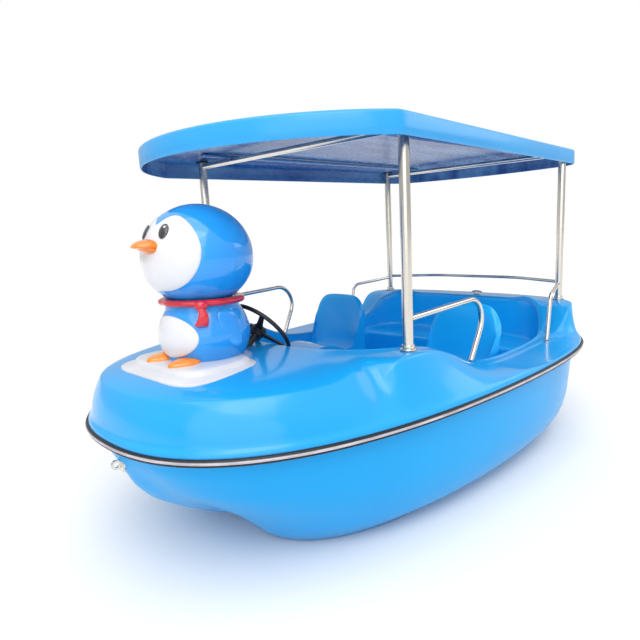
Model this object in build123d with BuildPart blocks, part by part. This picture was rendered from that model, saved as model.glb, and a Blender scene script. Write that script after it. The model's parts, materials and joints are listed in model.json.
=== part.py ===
"""Four-seat pedal boat: glass-fibre hull and deck, canopy on four posts, figurehead, pedals, rudder.

Units are millimetres. +X is the bow, +Y is port, +Z is up. The origin is under the middle of the
whole boat, on the plane that the pontoons stand on.
"""
from build123d import *
from math import cos, exp, hypot, pi, radians, sin
import os

# ---- driving dimensions -------------------------------------------------------------------
SKIN = 5.0                  # moulding thickness
BOW_X = 1446.0              # moulding tip at the hull and deck joint
STERN_X = -1337.0           # transom at the joint
JOINT_Z = 533.0             # height of the hull and deck joint
BEAM_FAR = 944.0            # half beam that the joint line tends to
BOW_RUN = 843.0             # length over which the bow fills out
STERN_RUN = 250.0           # length over which the stern closes
BOW_POWER = 2.36            # fullness of the joint line
OUTLINE_STEPS = 11          # points along one side of a plan outline

DECK_Z = 745.0              # foredeck plateau
SIDE_Z = 552.0              # low side deck beside the seats
FLOOR_Z = 205.0             # cockpit floor
TUNNEL_HALF = 150.0         # half width of the tunnel between the pontoons
TUNNEL_Z = 95.0             # tunnel roof
TUNNEL_FRONT = 820.0        # forward end of the tunnel

POST_FRONT_X = 500.0
POST_REAR_X = -1140.0
POST_Y = 640.0
POST_REAR_Y = 632.0
POST_R = 21.0
POST_WALL = 2.0
TUBE_Z = 1592.0             # cross tubes under the canopy
CROSS_TUBE_R = 16.0
RAIL_R = 12.5               # handrail tube
FIT = 0.3                   # gap between pieces that only pass each other

ROOF_Z = 1530.0             # lower edge of the canopy skirt
ROOF_TOP_Z = 1618.0         # shoulder of the canopy
ROOF_CROWN_Z = 1645.0
ROOF_FLAT = 0.6              # size of the flat top against the whole canopy
ROOF_CORNER = (664.0, 746.0)
ROOF_FRONT_X = 1107.0
ROOF_REAR_CORNER = (-1330.0, 664.0)
ROOF_REAR_X = -1466.0

CRANK_X = 430.0
CRANK_Z = 400.0
THROW = 120.0               # crank radius
SHAFT_R = 10.0
PADDLE_R = 262.0
PADDLE_HALF = 85.0          # half width of the paddle blades
WELL_HALF = 105.0           # half width inside the paddle well
WELL_R = 280.0              # inside radius of the well cover
COVER_LOW = 103.0           # foot of the well cover, on the tunnel's collar

WHEEL_CENTRE = (720.0, 0.0, 810.0)
WHEEL_LEAN = 38.0           # the wheel's axis rises aft by this angle
WHEEL_R = 165.0
RIM_R = 9.0

RUDDER_R = 11.0
RUDDER_X = -1366.0
RUDDER_TOP_Z = 500.0

HEAD_CENTRE = (1000.0, 0.0, 1156.0)
HEAD_R = 222.0

# the column plane: origin at the wheel's middle, Z along the axis towards the driver
COLUMN = Plane(origin=WHEEL_CENTRE, x_dir=(0, 1, 0),
               z_dir=(-cos(radians(WHEEL_LEAN)), 0, sin(radians(WHEEL_LEAN))))
COLUMN_R = 18.0             # steering column where it meets the foredeck
COLUMN_LOW = 106.0          # from the wheel's middle down the axis to the foredeck
POST_PLACES = [
    (POST_FRONT_X, POST_Y),
    (POST_FRONT_X, -POST_Y),
    (POST_REAR_X, POST_REAR_Y),
    (POST_REAR_X, -POST_REAR_Y),
]

os.makedirs("parts", exist_ok=True)


def save(piece, name):
    """Label a finished piece and write it as one STEP file."""
    piece.part.label = name
    export_step(piece.part, f"parts/{name}.step")


def outline_points(bow_x, stern_x, beam, power, inset=0.0):
    """Closed plan outline of a moulding: port side from bow to stern, then starboard back."""
    span = bow_x - stern_x
    side = []
    for i in range(OUTLINE_STEPS + 1):
        x = stern_x + span * (1 + cos(pi * i / OUTLINE_STEPS)) / 2
        front = 1 - exp(-(bow_x - x) / BOW_RUN)
        back = 1 - exp(-(x - stern_x) / STERN_RUN)
        side.append((x, beam * (front * back) ** (1 / power)))
    ring = side + [(x, -y) for x, y in side[-2:0:-1]]
    moved = []
    for i, (x, y) in enumerate(ring):
        before = ring[i - 1]
        after = ring[(i + 1) % len(ring)]
        dx = after[0] - before[0]
        dy = after[1] - before[1]
        size = hypot(dx, dy)
        moved.append((x - inset * dy / size, y + inset * dx / size))
    return moved


def joint_outline(inset=0.0):
    """Outline of the hull and deck joint, moved inwards by inset."""
    return outline_points(BOW_X, STERN_X, BEAM_FAR, BOW_POWER, inset)


# ---- hull ---------------------------------------------------------------------------------------
# height, bow tip, transom, half beam, fullness: the stem is raked and the bilge is round
HULL_LEVELS = [
    (0.0, 862.0, -900.0, 780.0, 2.6),
    (12.0, 908.0, -960.0, 852.0, 2.6),
    (90.0, 1045.0, -1150.0, 869.0, 2.0),
    (172.0, 1180.0, -1205.0, 872.0, 1.9),
    (254.0, 1300.0, -1240.0, 880.0, 1.9),
    (336.0, 1368.0, -1262.0, 890.0, 2.05),
    (430.0, 1400.0, -1282.0, 896.0, 2.2),
    (JOINT_Z, 1412.0, -1297.0, 900.0, 2.3),
]


def hull_loft(skin):
    """Outer or inner surface of the hull as a solid."""
    with BuildPart() as body:
        for level, bow, stern, beam, power in HULL_LEVELS:
            lift = skin if level < 20 else 0.0
            past = 1.0 if skin and level == JOINT_Z else 0.0
            with BuildSketch(Plane.XY.offset(level + lift + past)):
                with BuildLine():
                    Spline(*outline_points(bow, stern, beam, power, skin), periodic=True)
                make_face()
        loft(ruled=True)
    return body.part


def tunnel(skin):
    """Tunnel between the pontoons, with the opening of the paddle well, grown by one skin."""
    length = 1400 + TUNNEL_FRONT + skin
    with BuildPart() as gap:
        with BuildSketch(Plane.YZ.offset(-1400)):
            with Locations((0, -1)):
                Trapezoid(2 * (TUNNEL_HALF + skin), TUNNEL_Z + skin + 1, 70, align=(Align.CENTER, Align.MIN))
        extrude(amount=length)
        with Locations((CRANK_X, 0, 0)):
            Box(2 * (WELL_R + skin), 2 * (WELL_HALF + skin), 2 * (TUNNEL_Z + 7) - skin)
    return gap.part


with BuildPart() as hull_outer:
    add(hull_loft(0.0))
    with BuildSketch(Plane.XY.offset(JOINT_Z - SKIN)):
        with BuildLine():
            Spline(*joint_outline(), periodic=True)
        make_face()
    extrude(amount=SKIN)
    add(tunnel(0.0), mode=Mode.SUBTRACT)

with BuildPart() as hull_inside:
    add(hull_loft(SKIN))
    add(tunnel(SKIN), mode=Mode.SUBTRACT)

with BuildPart() as hull_shell:
    add(hull_outer.part)
    add(hull_inside.part, mode=Mode.SUBTRACT)
save(hull_shell, "hull_shell")

# ---- deck ---------------------------------------------------------------------------------------
# height and inset from the joint line: a steep rounded shoulder up to the foredeck
DECK_LEVELS = [(JOINT_Z, 0.0), (600.0, 12.0), (660.0, 40.0), (710.0, 82.0), (735.0, 130.0), (DECK_Z, 190.0)]
# the top line of the sides, bow to stern: foredeck, post hump, low side deck, stern horn
SHEER = [
    (470.0, DECK_Z + 9), (400.0, 738.0), (287.0, 705.0), (182.0, 662.0), (92.0, 615.0), (-43.0, 572.0),
    (-264.0, SIDE_Z), (-800.0, SIDE_Z), (-880.0, 575.0), (-930.0, 660.0), (-985.0, 735.0), (-1040.0, DECK_Z + 9),
]
SIDE_DECK = 220.0           # width of the side decks
TUB_FRONT = 690.0
BENCH_FRONT = -760.0
BENCH_Z = 480.0
TUB_BACK = -1095.0
TUB_CORNER = 130.0


def above_sheer(drop):
    """Solid over the side decks that cuts the deck down to its top line."""
    line = [(x, z - drop) for x, z in SHEER]
    with BuildPart() as cutter:
        with BuildSketch(Plane.XZ.offset(-1000)):
            with BuildLine():
                top = Spline(*line)
                Polyline(top @ 1, (SHEER[-1][0], 900), (SHEER[0][0], 900), top @ 0)
            make_face()
        extrude(amount=2000)
    return cutter.part


def well(front, back, floor, grow):
    """One level of the cockpit well as a solid, grown outwards by one skin for its outside."""
    with BuildPart() as block:
        with BuildSketch(Plane.XY.offset(floor - grow)):
            with BuildLine():
                Spline(*joint_outline(SIDE_DECK - grow), periodic=True)
            make_face()
            with Locations(((front + back) / 2, 0)):
                Rectangle(front - back + 2 * grow, 2000, mode=Mode.INTERSECT)
            fillet(vertices(), TUB_CORNER)
        extrude(amount=DECK_Z - floor + grow)
    return block.part


def deck_loft(skin):
    """Outer or inner surface of the deck as a solid."""
    with BuildPart() as dome:
        for level, inset in DECK_LEVELS:
            past = 1.0 if skin and level == JOINT_Z else 0.0
            drop = skin if level == DECK_Z else 0.0
            with BuildSketch(Plane.XY.offset(level - past - drop)):
                with BuildLine():
                    Spline(*joint_outline(inset + skin), periodic=True)
                make_face()
        loft(ruled=True)
    return dome.part


def cover_block(grow):
    """Round-topped block over the paddle wheel, grown by one skin for its outside."""
    with BuildPart() as block:
        with BuildSketch(Plane.XZ.offset(-(WELL_HALF + grow))):
            with Locations((CRANK_X, CRANK_Z)):
                Circle(WELL_R + grow)
            with Locations((CRANK_X, COVER_LOW)):
                Rectangle(2 * (WELL_R + grow), CRANK_Z - COVER_LOW, align=(Align.CENTER, Align.MIN))
        extrude(amount=2 * (WELL_HALF + grow))
    return block.part


with BuildPart() as under_deck:
    add(deck_loft(SKIN))
    add(above_sheer(SKIN), mode=Mode.SUBTRACT)
    add(well(TUB_FRONT, BENCH_FRONT, FLOOR_Z, SKIN), mode=Mode.SUBTRACT)
    add(well(BENCH_FRONT + TUB_CORNER, TUB_BACK, BENCH_Z, SKIN), mode=Mode.SUBTRACT)

with BuildPart() as deck_shell:
    add(deck_loft(0.0))
    add(well(TUB_FRONT, BENCH_FRONT, FLOOR_Z, SKIN))
    add(well(BENCH_FRONT + TUB_CORNER, TUB_BACK, BENCH_Z, SKIN))
    add(above_sheer(0.0), mode=Mode.SUBTRACT)
    add(under_deck.part, mode=Mode.SUBTRACT)
    add(well(TUB_FRONT, BENCH_FRONT, FLOOR_Z, 0.0), mode=Mode.SUBTRACT)
    add(well(BENCH_FRONT + TUB_CORNER, TUB_BACK, BENCH_Z, 0.0), mode=Mode.SUBTRACT)
    add(cover_block(SKIN + FIT), mode=Mode.SUBTRACT)
    with Locations(*[(x, y, DECK_Z - 90) for x, y in POST_PLACES]):
        Cylinder(POST_R + FIT, 200, mode=Mode.SUBTRACT)
    with Locations(COLUMN.offset(-COLUMN_LOW)):
        Cylinder(COLUMN_R + 4 * FIT, 90, mode=Mode.SUBTRACT)
save(deck_shell, "deck_shell")

# ---- joint rail -----------------------------------------------------------------------------------
RAIL_HALF = 22.0
STRIP_HALF = 6.0


def joint_ring(outer, inner, low, high):
    """Closed band that follows the joint line between two offsets, negative outwards."""
    with BuildPart() as ring:
        with BuildSketch(Plane.XY.offset(low)):
            with BuildLine():
                Spline(*joint_outline(outer), periodic=True)
            make_face()
            with BuildLine():
                Spline(*joint_outline(inner), periodic=True)
            make_face(mode=Mode.SUBTRACT)
        extrude(amount=high - low)
    return ring.part


with BuildPart() as rub_rail:
    add(joint_ring(-16.0, -FIT, JOINT_Z - RAIL_HALF, JOINT_Z + RAIL_HALF))
    add(joint_ring(-18.0, -10.0, JOINT_Z - STRIP_HALF, JOINT_Z + STRIP_HALF), mode=Mode.SUBTRACT)
save(rub_rail, "rub_rail")

with BuildPart() as rub_rail_strip:
    add(joint_ring(-20.0, -10.0, JOINT_Z - STRIP_HALF, JOINT_Z + STRIP_HALF))
save(rub_rail_strip, "rub_rail_strip")

# ---- buoyancy and small hull fittings ---------------------------------------------------------------
for side, sign in (("port", 1), ("starboard", -1)):
    with BuildPart() as foam:
        with Locations((-100, sign * 335, 108)):
            Box(1400, 290, 150)
        fillet(foam.edges().filter_by(Axis.X), 40)
    save(foam, f"foam_{side}")

with BuildPart() as drain_plug:
    with Locations(Plane(origin=(-1270.5, -200, 400), z_dir=(-1, 0, 0))):
        Cylinder(13, 9, align=(Align.CENTER, Align.CENTER, Align.MIN))
    with Locations(Plane(origin=(-1279.5, -200, 400), z_dir=(-1, 0, 0))):
        Box(20, 6, 7, align=(Align.CENTER, Align.CENTER, Align.MIN))
save(drain_plug, "drain_plug")

EYE_X = 1428.0
EYE_Z = 440.0
EYE_R = 10.0
with BuildPart() as bow_eye:
    with Locations((1408.5, 0, EYE_Z)):
        Box(6, 34, 60)
    with BuildSketch(Plane.XZ):
        with Locations((EYE_X, EYE_Z)):
            Circle(EYE_R + 8)
            Rectangle(EYE_X - 1411.5, 30, align=(Align.MAX, Align.CENTER))
            Circle(EYE_R, mode=Mode.SUBTRACT)
    extrude(amount=5, both=True)
save(bow_eye, "bow_eye")

with BuildPart() as stern_cleat:
    with Locations((-1125, 100, DECK_Z)):
        Cylinder(9, 22, align=(Align.CENTER, Align.CENTER, Align.MIN))
    with Locations((-1125, 100, DECK_Z + 24)):
        Cylinder(7, 70, rotation=(90, 0, 0))
    fillet(stern_cleat.edges().filter_by(GeomType.CIRCLE).group_by(Axis.Y)[0], 4)
    fillet(stern_cleat.edges().filter_by(GeomType.CIRCLE).group_by(Axis.Y)[-1], 4)
save(stern_cleat, "stern_cleat")

# ---- front seats -----------------------------------------------------------------------------------
SEAT_INNER_Y = 248.0
SEAT_WIDTH = 380.0
SEAT_SIDE = [(60, 206), (60, 455), (30, 490), (-285, 470), (-325, 805), (-372, 805), (-345, 206)]
SEAT_HOLLOW = [(54, 205), (54, 450), (28, 484), (-280, 464), (-339, 440), (-339, 205)]

for side, sign in (("port", 1), ("starboard", -1)):
    middle = sign * (SEAT_INNER_Y + SEAT_WIDTH / 2)
    with BuildPart() as seat:
        with BuildSketch(Plane.XZ.offset(-middle)):
            with BuildLine():
                Polyline(*SEAT_SIDE, close=True)
            make_face()
        extrude(amount=SEAT_WIDTH / 2, both=True)
        fillet(seat.edges().filter_by(Axis.X, tolerance=0.1).group_by(Axis.Z)[-1], 105)
        with BuildSketch(Plane.XZ.offset(-middle)):
            with BuildLine():
                Polyline(*SEAT_HOLLOW, close=True)
            make_face()
        extrude(amount=SEAT_WIDTH / 2 - 6, both=True, mode=Mode.SUBTRACT)
    save(seat, f"front_seat_{side}")

# ---- paddle well cover ---------------------------------------------------------------------------------
with BuildPart() as paddle_box:
    add(cover_block(SKIN))
    add(cover_block(0.0), mode=Mode.SUBTRACT)
    with Locations((CRANK_X, 0, CRANK_Z)):
        Cylinder(SHAFT_R + 4, 400, rotation=(90, 0, 0), mode=Mode.SUBTRACT)
save(paddle_box, "paddle_box")

# ---- crank shaft, paddle wheel and pedals --------------------------------------------------------------
JOURNAL_END = 566.0
# across the boat and up from the crank axis: journal, first throw, second throw, journal
THROW_LINE = [
    (0, 0), (215, 0), (235, THROW), (345, THROW), (385, -THROW), (495, -THROW), (515, 0), (JOURNAL_END, 0),
]
PEDAL_MIDDLES = {"inner": (289.0, THROW), "outer": (440.0, -THROW)}
PEDAL_WIDTH = 70.0
BEND_R = 18.0

port_line = [(CRANK_X, y, CRANK_Z + z) for y, z in THROW_LINE]
starboard_line = [(CRANK_X, -y, CRANK_Z - z) for y, z in THROW_LINE[:0:-1]]
with BuildPart() as crank_shaft:
    with BuildLine() as shaft_line:
        FilletPolyline(*(starboard_line + port_line[1:]), radius=BEND_R)
    with BuildSketch(Plane(origin=(CRANK_X, -JOURNAL_END, CRANK_Z), z_dir=(0, 1, 0))):
        Circle(SHAFT_R)
    sweep(path=shaft_line.wires()[0])
save(crank_shaft, "crank_shaft")

for side, sign in (("port", 1), ("starboard", -1)):
    for place, (middle, rise) in PEDAL_MIDDLES.items():
        with BuildPart() as pedal:
            with Locations((CRANK_X, sign * middle, CRANK_Z + sign * rise)):
                Box(100, PEDAL_WIDTH, 28)
            fillet(pedal.edges().filter_by(Axis.Y), 8)
            with GridLocations(80, 1, 2, 1):
                with Locations((CRANK_X, sign * middle, CRANK_Z + sign * rise)):
                    Box(6, PEDAL_WIDTH - 16, 40, mode=Mode.SUBTRACT)
            with Locations((CRANK_X, sign * middle, CRANK_Z + sign * rise)):
                Cylinder(SHAFT_R + 0.05, 200, rotation=(90, 0, 0), mode=Mode.SUBTRACT)
        save(pedal, f"pedal_{side}_{place}")
    for place, middle, length in (("inner", WELL_HALF + SKIN + FIT + 12, 24), ("outer", 556, 24)):
        with BuildPart() as bearing:
            with BuildSketch(Plane.XZ.offset(-(sign * middle + length / 2))):
                with Locations((CRANK_X, CRANK_Z)):
                    Circle(28)
                    Rectangle(90, 24)
                with Locations((CRANK_X - 36, CRANK_Z), (CRANK_X + 36, CRANK_Z)):
                    Circle(4, mode=Mode.SUBTRACT)
                with Locations((CRANK_X, CRANK_Z)):
                    Circle(SHAFT_R + 0.05, mode=Mode.SUBTRACT)
            extrude(amount=length)
        save(bearing, f"crank_bearing_{side}_{place}")

HUB_R = 26.0
with BuildPart() as paddle_hub:
    with Locations((CRANK_X, 0, CRANK_Z)):
        Cylinder(HUB_R, 120, rotation=(90, 0, 0))
    for y in (-52, 52):
        with Locations((CRANK_X, y, CRANK_Z)):
            Cylinder(95, 5, rotation=(90, 0, 0))
    with Locations((CRANK_X, 0, CRANK_Z)):
        Cylinder(SHAFT_R + 0.05, 200, rotation=(90, 0, 0), mode=Mode.SUBTRACT)
save(paddle_hub, "paddle_hub")

BLADES = 6
with BuildPart() as paddle_blades:
    for i in range(BLADES):
        turn = 360 * i / BLADES
        blade_plane = Plane(origin=(CRANK_X, 0, CRANK_Z), x_dir=(cos(radians(turn)), 0, sin(radians(turn))),
                            z_dir=(-sin(radians(turn)), 0, cos(radians(turn))))
        with BuildSketch(blade_plane):
            with Locations((HUB_R + FIT, 0)):
                Rectangle(95 - HUB_R, 98, align=(Align.MIN, Align.CENTER))
            with Locations((96, 0)):
                Rectangle(PADDLE_R - 96, 2 * PADDLE_HALF, align=(Align.MIN, Align.CENTER))
        extrude(amount=3, both=True)
save(paddle_blades, "paddle_blades")

# ---- steering ------------------------------------------------------------------------------------------
STEER_SHAFT_R = 9.0
BOSS_R = 30.0
SPOKES = 4

with BuildPart() as steering_wheel:
    with Locations(COLUMN):
        Torus(WHEEL_R - RIM_R, RIM_R)
        Cylinder(BOSS_R + 8, 12)
    with BuildSketch(COLUMN.offset(-4)):
        with PolarLocations(0, SPOKES, start_angle=45):
            with Locations((BOSS_R, 0)):
                Rectangle(WHEEL_R - RIM_R - BOSS_R, 24, align=(Align.MIN, Align.CENTER))
    extrude(amount=8)
    with Locations(COLUMN):
        Cylinder(BOSS_R, 60, mode=Mode.SUBTRACT)
save(steering_wheel, "steering_wheel")

with BuildPart() as steering_hub:
    with Locations(COLUMN.offset(-30)):
        Cylinder(BOSS_R - 0.05, 44, align=(Align.CENTER, Align.CENTER, Align.MIN))
    fillet(steering_hub.faces().sort_by(SortBy.DISTANCE)[0].edges(), 2)
    with Locations(COLUMN.offset(-31)):
        Cylinder(STEER_SHAFT_R + 0.05, 36, align=(Align.CENTER, Align.CENTER, Align.MIN), mode=Mode.SUBTRACT)
save(steering_hub, "steering_hub")

with BuildPart() as steering_shaft:
    with Locations(COLUMN.offset(4)):
        Cylinder(STEER_SHAFT_R, 230, align=(Align.CENTER, Align.CENTER, Align.MAX))
save(steering_shaft, "steering_shaft")

with BuildPart() as steering_column:
    with BuildSketch(COLUMN.offset(-34)):
        Circle(15)
    with BuildSketch(COLUMN.offset(-COLUMN_LOW - 40)):
        Circle(COLUMN_R)
    loft()
    with Locations(COLUMN):
        Cylinder(STEER_SHAFT_R + 0.05, 400, mode=Mode.SUBTRACT)
save(steering_column, "steering_column")

with BuildPart() as cable_drum:
    with Locations(COLUMN.offset(-185)):
        Cylinder(34, 30)
        Cylinder(STEER_SHAFT_R + 0.05, 60, mode=Mode.SUBTRACT)
save(cable_drum, "cable_drum")

with BuildPart() as rudder_stock:
    with Locations((RUDDER_X, 0, 330)):
        Cylinder(RUDDER_R, RUDDER_TOP_Z - 330, align=(Align.CENTER, Align.CENTER, Align.MIN))
    with Locations((RUDDER_X, 0, 330)):
        Box(30, 10, 90)
save(rudder_stock, "rudder_stock")

BLADE_SIDE = [(-1342, 330), (-1448, 318), (-1452, 110), (-1425, 30), (-1362, 26), (-1342, 90)]
with BuildPart() as rudder_blade:
    with BuildSketch(Plane.XZ):
        with BuildLine():
            Polyline(*BLADE_SIDE, close=True)
        make_face()
        fillet(vertices(), 16)
    extrude(amount=9, both=True)
    with Locations((RUDDER_X, 0, 330)):
        Box(30 + FIT, 10 + FIT, 90 + FIT, mode=Mode.SUBTRACT)
save(rudder_blade, "rudder_blade")

with BuildPart() as tiller_arm:
    with BuildSketch(Plane.XY.offset(472)):
        with Locations((RUDDER_X, 0)):
            Circle(20)
        with Locations((RUDDER_X, 40)):
            Rectangle(20, 80)
        with Locations((RUDDER_X, 78)):
            Circle(12)
            Circle(5, mode=Mode.SUBTRACT)
        with Locations((RUDDER_X, 0)):
            Circle(RUDDER_R + 0.05, mode=Mode.SUBTRACT)
    extrude(amount=12)
save(tiller_arm, "tiller_arm")

for place, height, root_x in (("lower", 392.0, -1283.0), ("upper", 448.0, -1292.0)):
    with BuildPart() as bracket:
        with BuildSketch(Plane.XY.offset(height - 8)):
            with Locations((RUDDER_X, 0)):
                Circle(21)
            with Locations((RUDDER_X, 0)):
                Rectangle(root_x - RUDDER_X, 34, align=(Align.MIN, Align.CENTER))
            with Locations((RUDDER_X, 0)):
                Circle(RUDDER_R + 0.05, mode=Mode.SUBTRACT)
        extrude(amount=16)
        with Locations((root_x - 3, 0, height)):
            Box(6, 90, 30)
        with Locations(*[Plane(origin=(root_x - 3, y, height), z_dir=(-1, 0, 0)) for y in (-34, 34)]):
            Cylinder(3.5, 20, mode=Mode.SUBTRACT)
    save(bracket, f"rudder_bracket_{place}")

# ---- canopy ---------------------------------------------------------------------------------------------
def roof_outline(inset, spread):
    """Plan of the canopy: bowed front, tapering sides, rounded rear, drawn in by inset and scaled by spread."""
    middle = (ROOF_CORNER[0] + ROOF_REAR_CORNER[0]) / 2
    front_x = middle + (ROOF_CORNER[0] - middle) * spread
    front_y = (ROOF_CORNER[1] - inset) * spread
    rear_x = middle + (ROOF_REAR_CORNER[0] - middle) * spread
    rear_y = (ROOF_REAR_CORNER[1] - inset) * spread
    nose = (middle + (ROOF_FRONT_X - inset - middle) * spread, 0)
    tail = (middle + (ROOF_REAR_X + inset - middle) * spread, 0)
    ThreePointArc((front_x, front_y), nose, (front_x, -front_y))
    Line((front_x, -front_y), (rear_x, -rear_y))
    ThreePointArc((rear_x, -rear_y), tail, (rear_x, rear_y))
    Line((rear_x, rear_y), (front_x, front_y))


def roof_block(inset, low, shoulder, crown):
    """Canopy as a solid: straight skirt and a crowned top."""
    with BuildPart() as block:
        for foot, top, spread in ((low, shoulder, 1.0), (shoulder, crown, ROOF_FLAT)):
            for height, size in ((foot, 1.0), (top, spread)):
                with BuildSketch(Plane.XY.offset(height)):
                    with BuildLine():
                        roof_outline(inset, size)
                    make_face()
                    fillet(vertices().group_by(Axis.X)[0], 120 * size)
                    fillet(vertices().group_by(Axis.X)[-1], 14 * size)
            loft(ruled=True)
    return block.part


with BuildPart() as roof_panel:
    add(roof_block(0.0, ROOF_Z, ROOF_TOP_Z, ROOF_CROWN_Z))
    add(roof_block(SKIN, ROOF_Z - 1, ROOF_TOP_Z - SKIN, ROOF_CROWN_Z - SKIN), mode=Mode.SUBTRACT)
save(roof_panel, "roof_panel")

POST_NAMES = ("front_port", "front_starboard", "rear_port", "rear_starboard")
POST_LOW = (600.0, 600.0, 560.0, 560.0)
POST_TOP = TUBE_Z + CROSS_TUBE_R
for name, (x, y), low in zip(POST_NAMES, POST_PLACES, POST_LOW):
    with BuildPart() as post:
        with Locations((x, y, low)):
            Cylinder(POST_R, POST_TOP - low, align=(Align.CENTER, Align.CENTER, Align.MIN))
            Cylinder(POST_R - POST_WALL, POST_TOP - low - 4, align=(Align.CENTER, Align.CENTER, Align.MIN),
                     mode=Mode.SUBTRACT)
    save(post, f"post_{name}")

for name, x, half in (("front", POST_FRONT_X, POST_Y), ("rear", POST_REAR_X, POST_REAR_Y)):
    with BuildPart() as cross_tube:
        with Locations((x, 0, TUBE_Z - 2)):
            Cylinder(CROSS_TUBE_R - 2, 2 * half, rotation=(90, 0, 0))
            Cylinder(CROSS_TUBE_R - 4, 2 * half, rotation=(90, 0, 0), mode=Mode.SUBTRACT)
        with Locations((x, -half, TUBE_Z), (x, half, TUBE_Z)):
            Cylinder(POST_R + 0.05, 80, mode=Mode.SUBTRACT)
    save(cross_tube, f"cross_tube_{name}")

with BuildPart() as roof_pads:
    with Locations(*[(x, y, POST_TOP + FIT) for x, y in POST_PLACES]):
        Cylinder(32, 4, align=(Align.CENTER, Align.CENTER, Align.MIN))
save(roof_pads, "roof_pads")

with BuildPart() as post_sockets:
    for (x, y), low in zip(POST_PLACES, POST_LOW):
        with Locations((x, y, low - 6)):
            Cylinder(27, 46, align=(Align.CENTER, Align.CENTER, Align.MIN))
        with Locations((x, y, low)):
            Cylinder(POST_R + FIT, 60, align=(Align.CENTER, Align.CENTER, Align.MIN), mode=Mode.SUBTRACT)
save(post_sockets, "post_sockets")

# ---- grab rails ---------------------------------------------------------------------------------------------
for side, sign in (("port", 1), ("starboard", -1)):
    with BuildPart() as handrail:
        with BuildLine() as hand_line:
            FilletPolyline((POST_FRONT_X, sign * 640, 876), (-170, sign * 655, 890), (-12, sign * 640, 597),
                           radius=110)
        with BuildSketch(Plane(origin=hand_line.wires()[0] @ 0, z_dir=hand_line.wires()[0] % 0)):
            Circle(RAIL_R)
        sweep(path=hand_line.wires()[0])
        with Locations((POST_FRONT_X, sign * POST_Y, 876)):
            Cylinder(POST_R + 0.05, 80, mode=Mode.SUBTRACT)
    save(handrail, f"handrail_{side}")

    with BuildPart() as stern_side:
        with BuildLine() as side_line:
            rear_end = (POST_REAR_X, sign * POST_REAR_Y, 828)
            FilletPolyline((-746, sign * 713, 561), (-792, sign * 711, 806), rear_end, radius=60)
        with BuildSketch(Plane(origin=side_line.wires()[0] @ 0, z_dir=side_line.wires()[0] % 0)):
            Circle(RAIL_R - 1.5)
        sweep(path=side_line.wires()[0])
        with Locations((POST_REAR_X, sign * POST_REAR_Y, 828)):
            Cylinder(POST_R + 0.05, 80, mode=Mode.SUBTRACT)
    save(stern_side, f"stern_rail_{side}")

STERN_BACK_Z = 838.0
STERN_BACK_LINE = [(POST_REAR_X, -POST_REAR_Y), (-1292, -300), (-1292, 300), (POST_REAR_X, POST_REAR_Y)]
with BuildPart() as stern_back:
    with BuildLine() as back_line:
        FilletPolyline(*[(x, y, STERN_BACK_Z) for x, y in STERN_BACK_LINE], radius=420)
    with BuildSketch(Plane(origin=back_line.wires()[0] @ 0, z_dir=back_line.wires()[0] % 0)):
        Circle(RAIL_R - 1.5)
    sweep(path=back_line.wires()[0])
    with Locations(*[(POST_REAR_X, y, STERN_BACK_Z) for y in (-POST_REAR_Y, POST_REAR_Y)]):
        Cylinder(POST_R + 0.05, 80, mode=Mode.SUBTRACT)
save(stern_back, "stern_rail_back")

FOOT_THICK = 5.0
with BuildPart() as rail_feet:
    for sign in (-1, 1):
        with Locations(Plane(origin=(-8, sign * 640, 584), z_dir=(-0.32, 0, 1))):
            Cylinder(24, FOOT_THICK)
        with Locations((-745, sign * 713, SIDE_Z + 3)):
            Cylinder(24, FOOT_THICK)
save(rail_feet, "rail_feet")

# ---- figurehead ---------------------------------------------------------------------------------------------
BASE_X = 1056.0
NECK_Z = 975.0

with BuildPart() as figure_base:
    with BuildSketch(Plane.XY.offset(DECK_Z + FIT)):
        with Locations((BASE_X, 0)):
            Ellipse(214, 328)
    with BuildSketch(Plane.XY.offset(DECK_Z + 38)):
        with Locations((BASE_X - 12, 0)):
            Ellipse(172, 262)
    loft()
save(figure_base, "figure_base")

BODY_LOW = DECK_Z + 38 + FIT
with BuildPart() as figure_body:
    with BuildSketch(Plane.XZ):
        with BuildLine():
            Line((0, BODY_LOW), (158, BODY_LOW))
            flank = Spline((158, BODY_LOW), (170, 860), (150, 930), (128, NECK_Z))
            Polyline(flank @ 1, (0, NECK_Z), (0, BODY_LOW))
        make_face()
    revolve(axis=Axis.Z)
figure_body.part.position = (HEAD_CENTRE[0], 0, 0)
save(figure_body, "figure_body")

with BuildPart() as figure_head:
    with Locations(HEAD_CENTRE):
        Sphere(HEAD_R)
    with Locations((HEAD_CENTRE[0], 0, NECK_Z + 2)):
        Box(600, 600, 200, align=(Align.CENTER, Align.CENTER, Align.MAX), mode=Mode.SUBTRACT)
save(figure_head, "figure_head")

with BuildPart() as figure_scarf:
    with Locations((HEAD_CENTRE[0], 0, NECK_Z)):
        Torus(158, 20)
    add(figure_body.part, mode=Mode.SUBTRACT)
    add(figure_head.part, mode=Mode.SUBTRACT)
save(figure_scarf, "figure_scarf")

with BuildPart() as figure_beak:
    with Locations(Plane(origin=(HEAD_CENTRE[0] + HEAD_R - 30, 0, HEAD_CENTRE[2] - 10), z_dir=(1, 0, 0.12))):
        Cone(58, 12, 92, align=(Align.CENTER, Align.CENTER, Align.MIN))
    add(figure_head.part, mode=Mode.SUBTRACT)
save(figure_beak, "figure_beak")

with BuildPart() as figure_flippers:
    for sign in (-1, 1):
        with BuildSketch(Plane.XZ.offset(-sign * 160)):
            with Locations((HEAD_CENTRE[0] + 5, 872)):
                Ellipse(42, 74)
        extrude(amount=16, both=True)
    add(figure_body.part, mode=Mode.SUBTRACT)
save(figure_flippers, "figure_flippers")

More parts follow.
